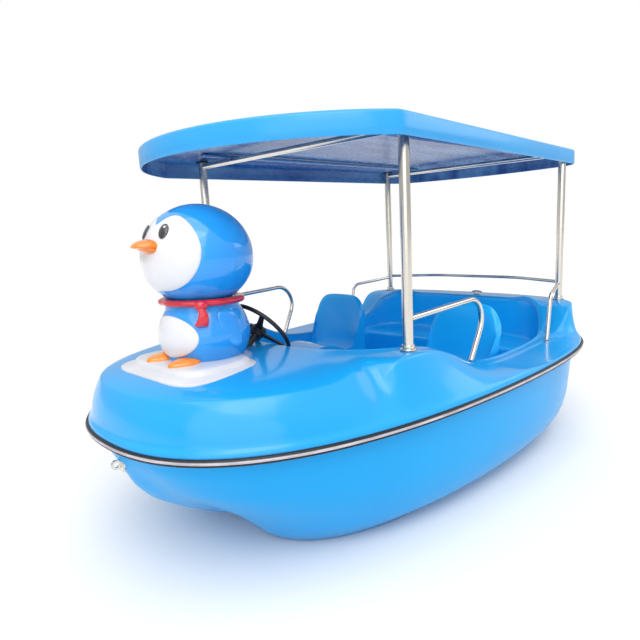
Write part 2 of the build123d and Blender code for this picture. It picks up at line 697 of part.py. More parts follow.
with BuildPart() as figure_feet:
    for sign in (-1, 1):
        with BuildSketch(Plane.XY.offset(BODY_LOW)):
            with Locations((HEAD_CENTRE[0] + 150, sign * 75)):
                Ellipse(66, 52)
        extrude(amount=26)
    add(figure_body.part, mode=Mode.SUBTRACT)
save(figure_feet, "figure_feet")
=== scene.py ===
"""Looks of a four-seat pedal boat: glossy moulded hull and deck, canopy on steel posts, bird figurehead.

Lengths are metres. +X is the bow, +Y is port, +Z is up, and the pontoons stand on z = 0.
"""

import json
import logging
import math
from contextlib import contextmanager
from dataclasses import dataclass
from enum import Enum
from typing import Callable, Iterator, Sequence

import bmesh
import bpy
import numpy as np
from mathutils import Matrix, Vector


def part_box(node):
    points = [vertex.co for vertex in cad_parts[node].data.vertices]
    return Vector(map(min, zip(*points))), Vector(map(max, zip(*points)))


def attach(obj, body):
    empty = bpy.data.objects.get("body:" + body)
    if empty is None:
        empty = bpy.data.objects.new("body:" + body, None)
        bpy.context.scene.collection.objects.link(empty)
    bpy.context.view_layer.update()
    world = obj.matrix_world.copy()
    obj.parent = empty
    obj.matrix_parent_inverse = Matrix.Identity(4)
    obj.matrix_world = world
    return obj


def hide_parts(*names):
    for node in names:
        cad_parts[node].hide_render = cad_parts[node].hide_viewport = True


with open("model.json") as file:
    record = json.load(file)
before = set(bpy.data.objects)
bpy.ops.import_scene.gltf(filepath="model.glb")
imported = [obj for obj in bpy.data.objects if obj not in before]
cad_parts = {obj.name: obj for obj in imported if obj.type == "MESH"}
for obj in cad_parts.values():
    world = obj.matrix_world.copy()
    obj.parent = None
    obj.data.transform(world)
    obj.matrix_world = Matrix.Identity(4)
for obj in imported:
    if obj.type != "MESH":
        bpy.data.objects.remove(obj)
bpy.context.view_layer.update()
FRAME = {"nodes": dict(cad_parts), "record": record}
LOG = logging.getLogger("pedal_boat")
SIDES = {"port": 1.0, "starboard": -1.0}
FULL_TURN = 2 * math.pi
Table = Sequence[tuple[float, float]]
Corner = tuple[float, float, float]


# ---- finishes ---------------------------------------------------------------------------------------------
def set_inputs(node: bpy.types.Node, values: dict[str, object]) -> None:
    """Set a node's own socket values by name."""
    for name, value in values.items():
        node.inputs[name].default_value = value


class Texture(Enum):
    """The pattern families that a finish may use."""

    CLOUDS = "clouds"
    STREAKS = "streaks"
    BRUSHED = "brushed"
    GRAIN = "grain"


@dataclass(frozen=True)
class Finish:
    """One surface finish, made with nodes that read Object coordinates.

    Two tones are mixed by a pattern, roughness varies between two bounds by a finer pattern, and a small
    bump carries the moulding's waviness or the metal's brushing.
    """

    name: str
    light: tuple[float, float, float]
    dark: tuple[float, float, float]
    roughness: tuple[float, float] = (0.12, 0.2)
    texture: Texture = Texture.CLOUDS
    scale: float = 1.6
    stretch: tuple[float, float, float] = (1.0, 1.0, 1.0)
    fine_scale: float = 60.0
    bump: float = 0.05
    bump_depth: float = 0.002
    fine_bump: float = 0.04
    metallic: float = 0.0
    coat: float = 0.0
    specular: float = 0.5

    def build(self) -> bpy.types.Material:
        """Make the material, or give the one made before.

        Returns:
            The node material of this finish.
        """
        known = bpy.data.materials.get(self.name)
        if known is not None:
            return known
        material = bpy.data.materials.new(self.name)
        material.use_nodes = True
        tree = material.node_tree
        shader = tree.nodes["Principled BSDF"]
        place = tree.nodes.new("ShaderNodeTexCoord")
        turn = tree.nodes.new("ShaderNodeMapping")
        set_inputs(turn, {"Scale": self.stretch})
        tree.links.new(place.outputs["Object"], turn.inputs["Vector"])
        broad = self._noise(tree, turn, self.scale, 3.0)
        fine = self._noise(tree, turn, self.fine_scale, 2.0)
        if self.texture is Texture.BRUSHED:
            set_inputs(fine, {"Roughness": 0.75})
        if self.texture is Texture.STREAKS:
            set_inputs(broad, {"Distortion": 0.8, "Detail": 6.0})
        self._tint(tree, fine if self.texture is Texture.GRAIN else broad, shader)
        self._gloss(tree, fine, shader)
        self._relief(tree, broad, fine, shader)
        set_inputs(shader, {"Metallic": self.metallic, "Coat Weight": self.coat, "Coat Roughness": 0.04,
                            "Specular IOR Level": self.specular})
        return material

    def _tint(self, tree: bpy.types.NodeTree, pattern: bpy.types.Node, shader: bpy.types.Node) -> None:
        """Mix the two tones by a pattern.

        Args:
            tree: The material's nodes.
            pattern: The noise that chooses the tone.
            shader: The surface shader.
        """
        ramp = tree.nodes.new("ShaderNodeValToRGB")
        for stop, place, tone in zip(ramp.color_ramp.elements, (0.36, 0.64), (self.dark, self.light)):
            stop.position = place
            stop.color = (*tone, 1.0)
        tree.links.new(pattern.outputs["Fac"], ramp.inputs["Fac"])
        tree.links.new(ramp.outputs["Color"], shader.inputs["Base Color"])

    def _gloss(self, tree: bpy.types.NodeTree, fine: bpy.types.Node, shader: bpy.types.Node) -> None:
        """Vary the roughness between its two bounds.

        Args:
            tree: The material's nodes.
            fine: The fine noise.
            shader: The surface shader.
        """
        spread = tree.nodes.new("ShaderNodeMapRange")
        set_inputs(spread, {"From Min": 0.3, "From Max": 0.7, "To Min": self.roughness[0],
                            "To Max": self.roughness[1]})
        tree.links.new(fine.outputs["Fac"], spread.inputs["Value"])
        tree.links.new(spread.outputs["Result"], shader.inputs["Roughness"])

    def _relief(self, tree: bpy.types.NodeTree, broad: bpy.types.Node, fine: bpy.types.Node,
                shader: bpy.types.Node) -> None:
        """Add the broad waviness and the fine bump to the surface normal.

        Args:
            tree: The material's nodes.
            broad: The broad noise.
            fine: The fine noise.
            shader: The surface shader.
        """
        wavy = tree.nodes.new("ShaderNodeBump")
        set_inputs(wavy, {"Strength": self.bump, "Distance": self.bump_depth * 8})
        tree.links.new(broad.outputs["Fac"], wavy.inputs["Height"])
        skin = tree.nodes.new("ShaderNodeBump")
        set_inputs(skin, {"Strength": self.fine_bump, "Distance": self.bump_depth})
        tree.links.new(fine.outputs["Fac"], skin.inputs["Height"])
        tree.links.new(wavy.outputs["Normal"], skin.inputs["Normal"])
        tree.links.new(skin.outputs["Normal"], shader.inputs["Normal"])

    @staticmethod
    def _noise(tree: bpy.types.NodeTree, source: bpy.types.Node, scale: float,
               detail: float) -> bpy.types.Node:
        """Add one noise texture.

        Args:
            tree: The material's nodes.
            source: The node that gives the coordinates.
            scale: How close the pattern is.
            detail: Its finer layers.

        Returns:
            The noise node.
        """
        noise = tree.nodes.new("ShaderNodeTexNoise")
        set_inputs(noise, {"Scale": scale, "Detail": detail})
        tree.links.new(source.outputs["Vector"], noise.inputs["Vector"])
        return noise

    def dress(self, piece: bpy.types.Object) -> None:
        """Give the whole piece this finish."""
        piece.data.materials.clear()
        piece.data.materials.append(self.build())


HULL_AZURE = Finish("hull_azure", (0.010, 0.345, 0.760), (0.008, 0.315, 0.710), scale=1.1,
                    roughness=(0.22, 0.26), fine_scale=14.0, fine_bump=0.01, specular=0.22)
# Brighter copy of the azure gelcoat for the seats and the cockpit tub: painted light that makes up for the shade
# under the canopy.
PAINTED_LIGHT_AZURE = Finish("azure_painted_light", (0.008, 0.450, 0.960), (0.006, 0.410, 0.900), coat=0.15, scale=2.0,
                    roughness=(0.18, 0.24), fine_scale=14.0, fine_bump=0.01, specular=0.4)
AZURE = Finish("azure_gelcoat", (0.014, 0.345, 0.770), (0.010, 0.315, 0.720), coat=0.1, scale=1.1,
               roughness=(0.15, 0.2), fine_scale=14.0, fine_bump=0.01, specular=0.4)
CANOPY_AZURE = Finish("canopy_azure", (0.030, 0.345, 0.740), (0.024, 0.315, 0.700), bump=0.02, coat=0.1,
                      roughness=(0.22, 0.26), fine_scale=14.0, fine_bump=0.01, specular=0.35)
CANOPY_LINING = Finish("canopy_lining", (0.100, 0.270, 0.520), (0.008, 0.085, 0.310), texture=Texture.STREAKS,
                       scale=2.6, stretch=(0.35, 2.6, 1.0), roughness=(0.2, 0.34), specular=0.3, bump=0.04,
                       fine_bump=0.01)
FIGURE_BLUE = Finish("figure_blue", (0.020, 0.300, 0.800), (0.014, 0.265, 0.740), coat=0.4, scale=4.0,
                     roughness=(0.08, 0.16), fine_bump=0.01)
FIGURE_WHITE = Finish("figure_white", (0.72, 0.73, 0.76), (0.66, 0.67, 0.71), coat=0.4, scale=5.0,
                      roughness=(0.14, 0.24), fine_bump=0.01)
BASE_WHITE = Finish("base_white", (0.66, 0.67, 0.70), (0.59, 0.60, 0.64), coat=0.2, scale=6.0,
                    roughness=(0.28, 0.34), fine_scale=20.0, bump=0.03, fine_bump=0.01)
FIGURE_RED = Finish("scarf_red", (0.66, 0.010, 0.030), (0.50, 0.006, 0.020), coat=0.6, scale=9.0)
FIGURE_ORANGE = Finish("beak_orange", (0.93, 0.27, 0.010), (0.80, 0.20, 0.006), coat=0.7, scale=9.0)
FIGURE_DARK = Finish("eye_dark", (0.012, 0.012, 0.016), (0.006, 0.006, 0.008), coat=1.0, scale=20.0,
                     roughness=(0.05, 0.1))
RUBBER = Finish("rail_rubber", (0.020, 0.021, 0.025), (0.008, 0.008, 0.010), texture=Texture.GRAIN,
                roughness=(0.32, 0.5), fine_scale=180.0, fine_bump=0.15, specular=0.4)
STRIP = Finish("rail_strip", (0.52, 0.49, 0.53), (0.36, 0.33, 0.36), scale=12.0, stretch=(1.0, 1.0, 6.0),
               roughness=(0.22, 0.36))
STAINLESS = Finish("polished_tube", (0.80, 0.77, 0.70), (0.66, 0.63, 0.57), texture=Texture.BRUSHED, scale=3.0,
                   stretch=(1.0, 1.0, 0.12), fine_scale=240.0, roughness=(0.14, 0.26), metallic=1.0,
                   bump=0.03, fine_bump=0.05, bump_depth=0.0006)
STEEL = Finish("turned_steel", (0.56, 0.56, 0.57), (0.42, 0.42, 0.43), texture=Texture.BRUSHED, scale=8.0,
               stretch=(1.0, 0.1, 1.0), fine_scale=260.0, roughness=(0.24, 0.4), metallic=1.0,
               fine_bump=0.08, bump_depth=0.0006)
BLACK = Finish("black_moulding", (0.018, 0.018, 0.022), (0.009, 0.009, 0.011), texture=Texture.GRAIN,
               roughness=(0.3, 0.46), fine_scale=220.0, fine_bump=0.18, bump_depth=0.0008)
GREY = Finish("grey_moulding", (0.16, 0.165, 0.175), (0.11, 0.115, 0.125), texture=Texture.GRAIN,
              roughness=(0.38, 0.55), fine_scale=200.0, fine_bump=0.2, bump_depth=0.0008)
NYLON = Finish("machined_nylon", (0.74, 0.73, 0.68), (0.62, 0.61, 0.56), texture=Texture.BRUSHED, scale=10.0,
               stretch=(1.0, 0.15, 1.0), fine_scale=180.0, roughness=(0.35, 0.5))
FOAM = Finish("closed_foam", (0.84, 0.79, 0.64), (0.70, 0.65, 0.50), texture=Texture.GRAIN,
              roughness=(0.75, 0.95), fine_scale=120.0, fine_bump=0.5)
FLOOR = Finish("studio_floor", (0.84, 0.84, 0.84), (0.83, 0.83, 0.83), roughness=(0.8, 0.9), bump=0.0,
               fine_bump=0.0, specular=0.1)


# ---- mesh tools -------------------------------------------------------------------------------------------
def deselect() -> None:
    """Leave nothing selected and no piece in edit mode."""
    if bpy.context.object is not None and bpy.context.object.mode != "OBJECT":
        bpy.ops.object.mode_set(mode="OBJECT")
    bpy.ops.object.select_all(action="DESELECT")


def start(kind: Callable[..., set], name: str, **options: object) -> bpy.types.Object:
    """Add one primitive by its operator, alone in the selection.

    Args:
        kind: The primitive's operator.
        name: What the new piece is called.
        options: The operator's own size and place.

    Returns:
        The new object.
    """
    deselect()
    kind(**options)
    made = bpy.context.object
    made.name = name
    return made


def select_only(piece: bpy.types.Object) -> None:
    """Make one piece the whole selection."""
    deselect()
    piece.select_set(True)
    bpy.context.view_layer.objects.active = piece


def settle(piece: bpy.types.Object) -> None:
    """Put the piece's place into its mesh."""
    select_only(piece)
    bpy.ops.object.transform_apply(location=True, rotation=True, scale=True)


def modify(piece: bpy.types.Object, kind: str, **values: object) -> None:
    """Add one modifier and apply it.

    Args:
        piece: The mesh object that it works on.
        kind: Blender's type name of the modifier.
        values: The modifier's settings.
    """
    select_only(piece)
    made = piece.modifiers.new(kind.title(), kind)
    for key, value in values.items():
        setattr(made, key, value)
    bpy.ops.object.modifier_apply(modifier=made.name)


def box_piece(name: str, middle: Sequence[float], size: Corner) -> bpy.types.Object:
    """Make a block square to the axes.

    Args:
        name: What the piece is called.
        middle: Its middle.
        size: Its three side lengths.

    Returns:
        The new object, with its place in its mesh.
    """
    made = start(bpy.ops.mesh.primitive_cube_add, name, size=1.0, location=middle)
    made.scale = size
    settle(made)
    return made


def disc(name: str, middle: Sequence[float], radius: float, depth: float, turn: Corner = (0.0, 0.0, 0.0),
         sides: int = 64) -> bpy.types.Object:
    """Make a short round bar or plate.

    Args:
        name: What the piece is called.
        middle: Its middle.
        radius: Its radius.
        depth: Its length.
        turn: Its turn from upright, in radians.
        sides: Faces round it.

    Returns:
        The new object, with its place in its mesh.
    """
    made = start(bpy.ops.mesh.primitive_cylinder_add, name, radius=radius, depth=depth, vertices=sides,
                 location=middle, rotation=turn)
    settle(made)
    return made


def ball(name: str, radii: Corner, place: Matrix, sides: int = 32) -> bpy.types.Object:
    """Make an ellipsoid.

    Args:
        name: What the piece is called.
        radii: Its three half widths.
        place: Where it goes and how it is turned.
        sides: Faces round it, with half as many rings.

    Returns:
        The new object, with its place in its mesh.
    """
    made = start(bpy.ops.mesh.primitive_uv_sphere_add, name, radius=1.0, segments=sides, ring_count=sides // 2)
    made.scale = radii
    settle(made)
    made.matrix_world = place
    settle(made)
    return made


def combine(piece: bpy.types.Object, other: bpy.types.Object, operation: str) -> None:
    """Cut a piece with another or add the other to it, and remove the other.

    Args:
        piece: The piece that stays.
        other: The cutter or addition.
        operation: DIFFERENCE or UNION.
    """
    modify(piece, "BOOLEAN", operation=operation, solver="EXACT", object=other)
    bpy.data.objects.remove(other)


def round_edges(piece: bpy.types.Object, width: float, segments: int = 3) -> None:
    """Round a piece's sharp edges."""
    modify(piece, "BEVEL", width=width, segments=segments, limit_method="ANGLE")


@contextmanager
def open_mesh(mesh: bpy.types.Mesh) -> Iterator[bmesh.types.BMesh]:
    """Open a mesh for changes in code, and write them back at the end.

    Args:
        mesh: The mesh to change.

    Yields:
        Its editable copy.
    """
    work = bmesh.new()
    work.from_mesh(mesh)
    yield work
    work.to_mesh(mesh)
    work.free()


def smooth(piece: bpy.types.Object, angle: float = 35.0) -> None:
    """Shade smooth, with creases sharper than an angle kept."""
    select_only(piece)
    bpy.ops.object.shade_smooth_by_angle(angle=math.radians(angle))


def mesh_piece(name: str, points: Sequence[Sequence[float]], faces: Sequence[Sequence[int]],
               close: bool = True) -> bpy.types.Object:
    """Make a mesh object from points and faces, with doubles merged.

    Args:
        name: What the piece is called.
        points: Its vertices in the row frame.
        faces: Vertex numbers of each face.
        close: True for a closed solid, whose normals are turned outwards.

    Returns:
        The new object, at the origin.
    """
    mesh = bpy.data.meshes.new(name)
    mesh.from_pydata([tuple(map(float, p)) for p in points], [], [tuple(map(int, f)) for f in faces])
    with open_mesh(mesh) as work:
        bmesh.ops.remove_doubles(work, verts=work.verts, dist=1e-5)
        bmesh.ops.dissolve_degenerate(work, edges=work.edges, dist=1e-6)
        if close:
            bmesh.ops.recalc_face_normals(work, faces=work.faces)
    made = bpy.data.objects.new(name, mesh)
    bpy.context.scene.collection.objects.link(made)
    return made


def loft(name: str, rows: np.ndarray, ring: bool = True, caps: bool = False, flip: bool = False,
         close: bool = False) -> bpy.types.Object:
    """Skin rows of points into one mesh.

    Args:
        name: What the piece is called.
        rows: Points by row and place, as rows x places x 3.
        ring: True where each row closes on itself.
        caps: True to fill the first and last row with one face each.
        flip: True to turn the faces the other way.
        close: True for a closed solid.

    Returns:
        The new object.
    """
    count, places = rows.shape[:2]
    faces = []
    for k in range(count - 1):
        for i in range(places if ring else places - 1):
            j = (i + 1) % places
            face = (k * places + i, k * places + j, (k + 1) * places + j, (k + 1) * places + i)
            faces.append(face[::-1] if flip else face)
    if caps:
        faces.append(tuple(range(places))[::-1])
        faces.append(tuple(range((count - 1) * places, count * places)))
    return mesh_piece(name, rows.reshape(-1, 3), faces, close)


def closed_skin(name: str, rows: Sequence[np.ndarray], crease: float = 60.0) -> bpy.types.Object:
    """Skin closed rows into a solid with both ends filled, shaded smooth.

    Args:
        name: What the piece is called.
        rows: Its rings of points.
        crease: Edges sharper than this, in degrees, stay sharp.

    Returns:
        The new object.
    """
    made = loft(name, np.array(rows), caps=True, close=True)
    smooth(made, crease)
    return made


def circle(count: int) -> np.ndarray:
    """Evenly spaced angles once round, without the last."""
    return np.linspace(0, FULL_TURN, count, endpoint=False)


def smooth_rows(rows: np.ndarray, steps: int) -> np.ndarray:
    """Cubic B-spline near control rows, from the first to the last.

    Args:
        rows: Control points by row.
        steps: New rows in each span.

    Returns:
        The finer rows.
    """
    padded = np.concatenate([rows[:1]] * 2 + [rows] + [rows[-1:]] * 2)
    made = []
    for i in range(len(padded) - 3):
        a, b, c, d = padded[i:i + 4]
        for s in range(steps):
            t = s / steps
            made.append(((1 - t) ** 3 * a + (3 * t ** 3 - 6 * t ** 2 + 4) * b
                         + (-3 * t ** 3 + 3 * t ** 2 + 3 * t + 1) * c + t ** 3 * d) / 6)
    made.append(padded[-1])
    return np.array(made)


def table(pairs: Table) -> Callable[[np.ndarray], np.ndarray]:
    """Draw a smooth curve near a table of (place, value) pairs.

    Args:
        pairs: The table, in any order.

    Returns:
        A function from place to value.
    """
    dense = smooth_rows(np.array(sorted(pairs), float), 12)
    return lambda x: np.interp(x, dense[:, 0], dense[:, 1])


def length_along(line: np.ndarray) -> np.ndarray:
    """Length of a polyline up to each of its points."""
    return np.concatenate([[0.0], np.cumsum(np.linalg.norm(np.diff(line, axis=0), axis=1))])


def resample(line: np.ndarray, count: int, marks: Sequence[float] = (),
             targets: Sequence[float] = ()) -> np.ndarray:
    """Points along a polyline, equally spaced, or drawn so that marks in the count fall on given shares.

    Args:
        line: The polyline.
        count: How many points to give.
        marks: Shares of the count, rising from 0 to 1.
        targets: The share of the line's length at each mark.

    Returns:
        The new points, first and last included.
    """
    run = length_along(line)
    share = np.linspace(0, 1, count)
    if len(marks):
        share = np.interp(share, marks, targets)
    return np.stack([np.interp(share * run[-1], run, line[:, k]) for k in range(line.shape[1])], axis=1)


def share_at(line: np.ndarray, x: float) -> float:
    """Share of a bow-to-stern half line's length where it passes a place along the boat."""
    run = length_along(line)
    return float(np.interp(-x, -line[:, 0], run) / run[-1])


def inward(half: np.ndarray) -> np.ndarray:
    """Unit normals in plan that point into the boat.

    Args:
        half: A half line's points from bow to stern.

    Returns:
        One normal for each point, straight aft at the bow and straight ahead at the stern.
    """
    step = np.gradient(half, axis=0)
    step /= np.linalg.norm(step, axis=1)[:, None]
    made = np.stack([-step[:, 1], step[:, 0]], axis=1)
    made[0], made[-1] = (-1.0, 0.0), (1.0, 0.0)
    return made


def whole(half: np.ndarray) -> np.ndarray:
    """Closed ring from its port half, bow to stern."""
    return np.concatenate([half, half[-2:0:-1] * np.array([1.0, -1.0, 1.0])])


def at_height(plan: np.ndarray, height: np.ndarray | float) -> np.ndarray:
    """Plan points lifted to a height."""
    return np.column_stack([plan, np.broadcast_to(height, len(plan))])


def tube(name: str, path: np.ndarray, radius: float, sides: int = 28) -> bpy.types.Object:
    """Round bar along a path of close points, capped at both ends.

    Args:
        name: What the piece is called.
        path: The centre line.
        radius: The bar's radius.
        sides: Points round it.

    Returns:
        The new object.
    """
    step = np.gradient(path, axis=0)
    step /= np.linalg.norm(step, axis=1)[:, None]
    guide = np.array([0.0, 0.0, 1.0]) if abs(step[0][2]) < 0.9 else np.array([1.0, 0.0, 0.0])
    rows = []
    for place, along in zip(path, step):
        across = np.cross(guide, along)
        across /= np.linalg.norm(across)
        guide = np.cross(along, across)
        turn = circle(sides)
        rows.append(place + radius * (np.cos(turn)[:, None] * across + np.sin(turn)[:, None] * guide))
    return closed_skin(name, rows, 35.0)


def bend_line(corners: Sequence[Sequence[float]], radius: float, steps: int = 12) -> np.ndarray:
    """Centre line of a bent bar: straight runs joined by arcs.

    Args:
        corners: Where the straight runs would meet.
        radius: Bend radius.
        steps: Points on each bend.

    Returns:
        The points along the bar.
    """
    points = [np.array(c, float) for c in corners]
    line = [points[0]]
    for before, corner, after in zip(points, points[1:], points[2:]):
        a = (before - corner) / np.linalg.norm(before - corner)
        b = (after - corner) / np.linalg.norm(after - corner)
        half = math.acos(float(np.clip(a @ b, -1, 1))) / 2
        reach = radius / math.tan(half)
        middle = corner + (a + b) / np.linalg.norm(a + b) * radius / math.sin(half)
        first = corner + a * reach - middle
        second = corner + b * reach - middle
        angle = math.pi - 2 * half
        for s in range(steps + 1):
            t = s / steps
            arc = math.sin((1 - t) * angle) * first + math.sin(t * angle) * second
            line.append(middle + arc / math.sin(angle))
    line.append(points[-1])
    return np.array(line)


def join(name: str, parts: Sequence[bpy.types.Object]) -> bpy.types.Object:
    """Make several meshes one piece.

    Args:
        name: What the piece is called.
        parts: The meshes, which go into the first.

    Returns:
        The joined object.
    """
    deselect()
    for part in parts:
        part.select_set(True)
    bpy.context.view_layer.objects.active = parts[0]
    bpy.ops.object.join()
    parts[0].name = name
    return parts[0]


def place_piece(piece: bpy.types.Object, body: str, finish: Finish | None = None,
                nodes: Sequence[str] = ()) -> bpy.types.Object:
    """Dress a finished piece, tie it to its CAD body, hide the CAD nodes that it replaces, and log it.

    Args:
        piece: The finished mesh object.
        body: The CAD body that it moves with.
        finish: Its finish, unless it has one already.
        nodes: CAD nodes that it replaces.

    Returns:
        The same object.
    """
    if finish is not None:
        finish.dress(piece)
    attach(piece, body)
    if nodes:
        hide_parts(*nodes)
    LOG.info("%s rides on %s with %d faces", piece.name, body, len(piece.data.polygons))
    return piece


# ---- mouldings --------------------------------------------------------------------------------------------
@dataclass
class JointLine:
    """Plan line where hull and deck meet, and the places along it that every ring shares."""

    bow: float = 1.446
    stern: float = -1.337
    beam: float = 0.944
    bow_run: float = 0.843
    stern_run: float = 0.250
    power: float = 2.36
    places: int = 160

    def half_breadth(self, x: np.ndarray) -> np.ndarray:
        """Half breadth of the joint.

        Args:
            x: Places along the boat.

        Returns:
            The half breadth at each place.
        """
        front = 1 - np.exp(-(self.bow - x) / self.bow_run)
        back = 1 - np.exp(-(x - self.stern) / self.stern_run)
        return self.beam * (np.clip(front, 0, 1) * np.clip(back, 0, 1)) ** (1 / self.power)

    def half(self) -> np.ndarray:
        """Port half of the line in plan, bow to stern, evenly spaced.

        Returns:
            places + 1 points.
        """
        turn = np.linspace(0, math.pi, 3000)
        x = self.stern + (self.bow - self.stern) * (1 + np.cos(turn)) / 2
        return resample(np.stack([x, self.half_breadth(x)], axis=1), self.places + 1)


@dataclass
class HullMoulding:
    """The hull: raked stem with a keel ridge, two pontoon noses, round bilge, flat soles and a tunnel."""

    line: JointLine
    skin: float = 0.005
    # height, stem at the middle, pontoon nose, front run, half beam, fullness, transom, nose hollow
    levels: tuple[tuple[float, ...], ...] = (
        (0.000, 0.885, 0.944, 0.516, 0.674, 3.05, -0.850, 0.200),
        (0.012, 0.909, 0.966, 0.537, 0.690, 2.95, -0.900, 0.200),
        (0.030, 0.948, 0.990, 0.568, 0.722, 2.86, -0.980, 0.200),
        (0.060, 1.004, 1.018, 0.599, 0.779, 2.76, -1.110, 0.200),
        (0.090, 1.058, 1.045, 0.620, 0.823, 2.66, -1.175, 0.200),
        (0.172, 1.189, 1.125, 0.671, 0.873, 2.54, -1.220, 0.170),
        (0.254, 1.300, 1.220, 0.700, 0.888, 2.50, -1.248, 0.080),
        (0.336, 1.366, 1.320, 0.760, 0.897, 2.42, -1.262, 0.040),
        (0.430, 1.402, 1.390, 0.810, 0.903, 2.36, -1.282, 0.010),
        (0.500, 1.414, 1.414, 0.830, 0.908, 2.36, -1.297, 0.000),
    )
    flange: Table = ((0.001, 0.530), (0.002, 0.521), (0.008, 0.512))
    heights: tuple[float, ...] = (0.505, 0.470, 0.430, 0.385, 0.336, 0.295, 0.254, 0.213, 0.172, 0.130, 0.090,
                                  0.058, 0.030, 0.012, 0.003)
    sole_shares: tuple[float, ...] = (0.0, 0.04, 0.15, 0.4, 0.7, 1.0)
    tunnel_half: float = 0.150
    tunnel_top: float = 0.095
    tunnel_front: float = 0.820
    tunnel_stern: float = -1.450
    tunnel_wall: float = 70.0
    # rear end, front end and half width of the paddle well, then its lowest and highest cut
    well: Corner = (0.150, 0.710, 0.105)
    well_cut: tuple[float, float] = (0.050, 0.200)

    def outline(self, z: float) -> np.ndarray:
        """Half outline of the hull at a height, bow to stern.

        Args:
            z: The height.

        Returns:
            As many plan points as the joint line has.
        """
        grid = np.array(self.levels)
        stem, nose, run, beam, power, stern, hollow = (
            float(np.interp(z, grid[:, 0], grid[:, k])) for k in range(1, 8))
        y = np.linspace(0, 0.97, 700) * beam
        front = nose + run * np.log(np.clip(1 - (y / beam) ** power, 1e-9, 1))
        front = front - hollow * np.clip(1 - y / 0.33, 0, 1) ** 2
        steep = float(np.interp(z, (0.0, 0.1, 0.3), (0.95, 0.85, 0.5)))
        soft = float(np.interp(z, (0.0, 0.1, 0.3), (0.012, 0.018, 0.03)))
        ridge = stem - steep * (np.sqrt(y ** 2 + soft ** 2) - soft) - 5.0 * np.clip(y - 0.20, 0, 1) ** 2
        blend = float(np.interp(z, (0.1, 0.3), (0.006, 0.02)))
        x = np.logaddexp(front / blend, ridge / blend) * blend
        ahead = x > 0.0
        first = np.stack([x[ahead], y[ahead]], axis=1)
        rear_x = np.linspace(0, 1, 900) ** 0.5 * (stern - first[-1][0]) + first[-1][0]
        keep = 1 - np.exp(-(nose - rear_x) / run)
        close = 1 - np.exp(-(rear_x - stern) / self.line.stern_run)
        rear_y = beam * (keep * np.clip(close, 0, 1)) ** (1 / power)
        rear_y *= first[-1][1] / max(rear_y[0], 1e-6) * (1 - np.linspace(0, 1, 900)) + np.linspace(0, 1, 900)
        rear_y[-1] = 0.0
        return resample(np.vstack([first, np.stack([rear_x, rear_y], axis=1)[1:]]), self.line.places + 1)

    def build(self) -> bpy.types.Object:
        """Skin the hull, cut the tunnel and the paddle well, and give it its thickness.

        Returns:
            The hull mesh.
        """
        joint = self.line.half()
        normal = inward(joint)
        rows = [at_height(joint + normal * inset, z) for inset, z in self.flange]
        rows += [at_height(self.outline(z), z) for z in self.heights]
        sole = self.outline(0.0)
        spine = np.stack([np.clip(sole[:, 0], -0.6, 0.55), np.zeros(len(sole))], axis=1)
        rows += [at_height(sole + (spine - sole) * share, 0.0) for share in self.sole_shares]
        skinned = smooth_rows(np.array(rows), 3)
        skinned[-1, :, 1] = 0.0
        rings = np.array([whole(row) for row in skinned])
        hull = loft("hull", rings, flip=True)
        select_only(hull)
        bpy.ops.object.mode_set(mode="EDIT")
        bpy.ops.mesh.select_all(action="DESELECT")
        bpy.ops.mesh.select_non_manifold()
        bpy.ops.mesh.edge_face_add()
        bpy.ops.mesh.select_all(action="SELECT")
        bpy.ops.mesh.normals_make_consistent(inside=False)
        bpy.ops.object.mode_set(mode="OBJECT")
        combine(hull, self._tunnel(), "DIFFERENCE")
        self._open_top(hull)
        modify(hull, "SOLIDIFY", thickness=self.skin, offset=-1.0, use_rim=True)
        smooth(hull, 30)
        return hull

    def _tunnel(self) -> bpy.types.Object:
        """Solid that cuts the tunnel and the paddle well.

        Returns:
            The cutter, to be removed after use.
        """
        half, top = self.tunnel_half, self.tunnel_top
        narrow = half - top / math.tan(math.radians(self.tunnel_wall))
        corners = []
        for x, nose in ((self.tunnel_stern, 0.0), (self.tunnel_front, 0.06)):
            corners += [(x, -half, -0.02), (x, half, -0.02), (x - nose, narrow, top), (x - nose, -narrow, top)]
        block = mesh_piece("tunnel_cutter", corners, [(0, 1, 2, 3), (7, 6, 5, 4), (0, 4, 5, 1), (1, 5, 6, 2),
                                                      (2, 6, 7, 3), (3, 7, 4, 0)])
        round_edges(block, 0.018, 4)
        back, ahead, wide = self.well
        under, over = self.well_cut
        opening = box_piece("well_cutter", ((back + ahead) / 2, 0, (under + over) / 2),
                            (ahead - back, 2 * wide, over - under))
        combine(block, opening, "UNION")
        return block

    def _open_top(self, hull: bpy.types.Object) -> None:
        """Take off the face that closed the hull for cutting, and the paddle well's ceiling.

        Args:
            hull: The cut hull, still a closed solid.
        """
        back, ahead, wide = self.well
        with open_mesh(hull.data) as work:
            lids = []
            for face in work.faces:
                x, y, z = face.calc_center_median()
                lid = face.normal.z > 0.95 and z > 0.52
                ceiling = face.normal.z < -0.95 and z > self.well_cut[1] - 0.01 and abs(y) < wide
                if lid or (ceiling and back - 0.05 < x < ahead + 0.04):
                    lids.append(face)
            bmesh.ops.delete(work, geom=lids, context="FACES")


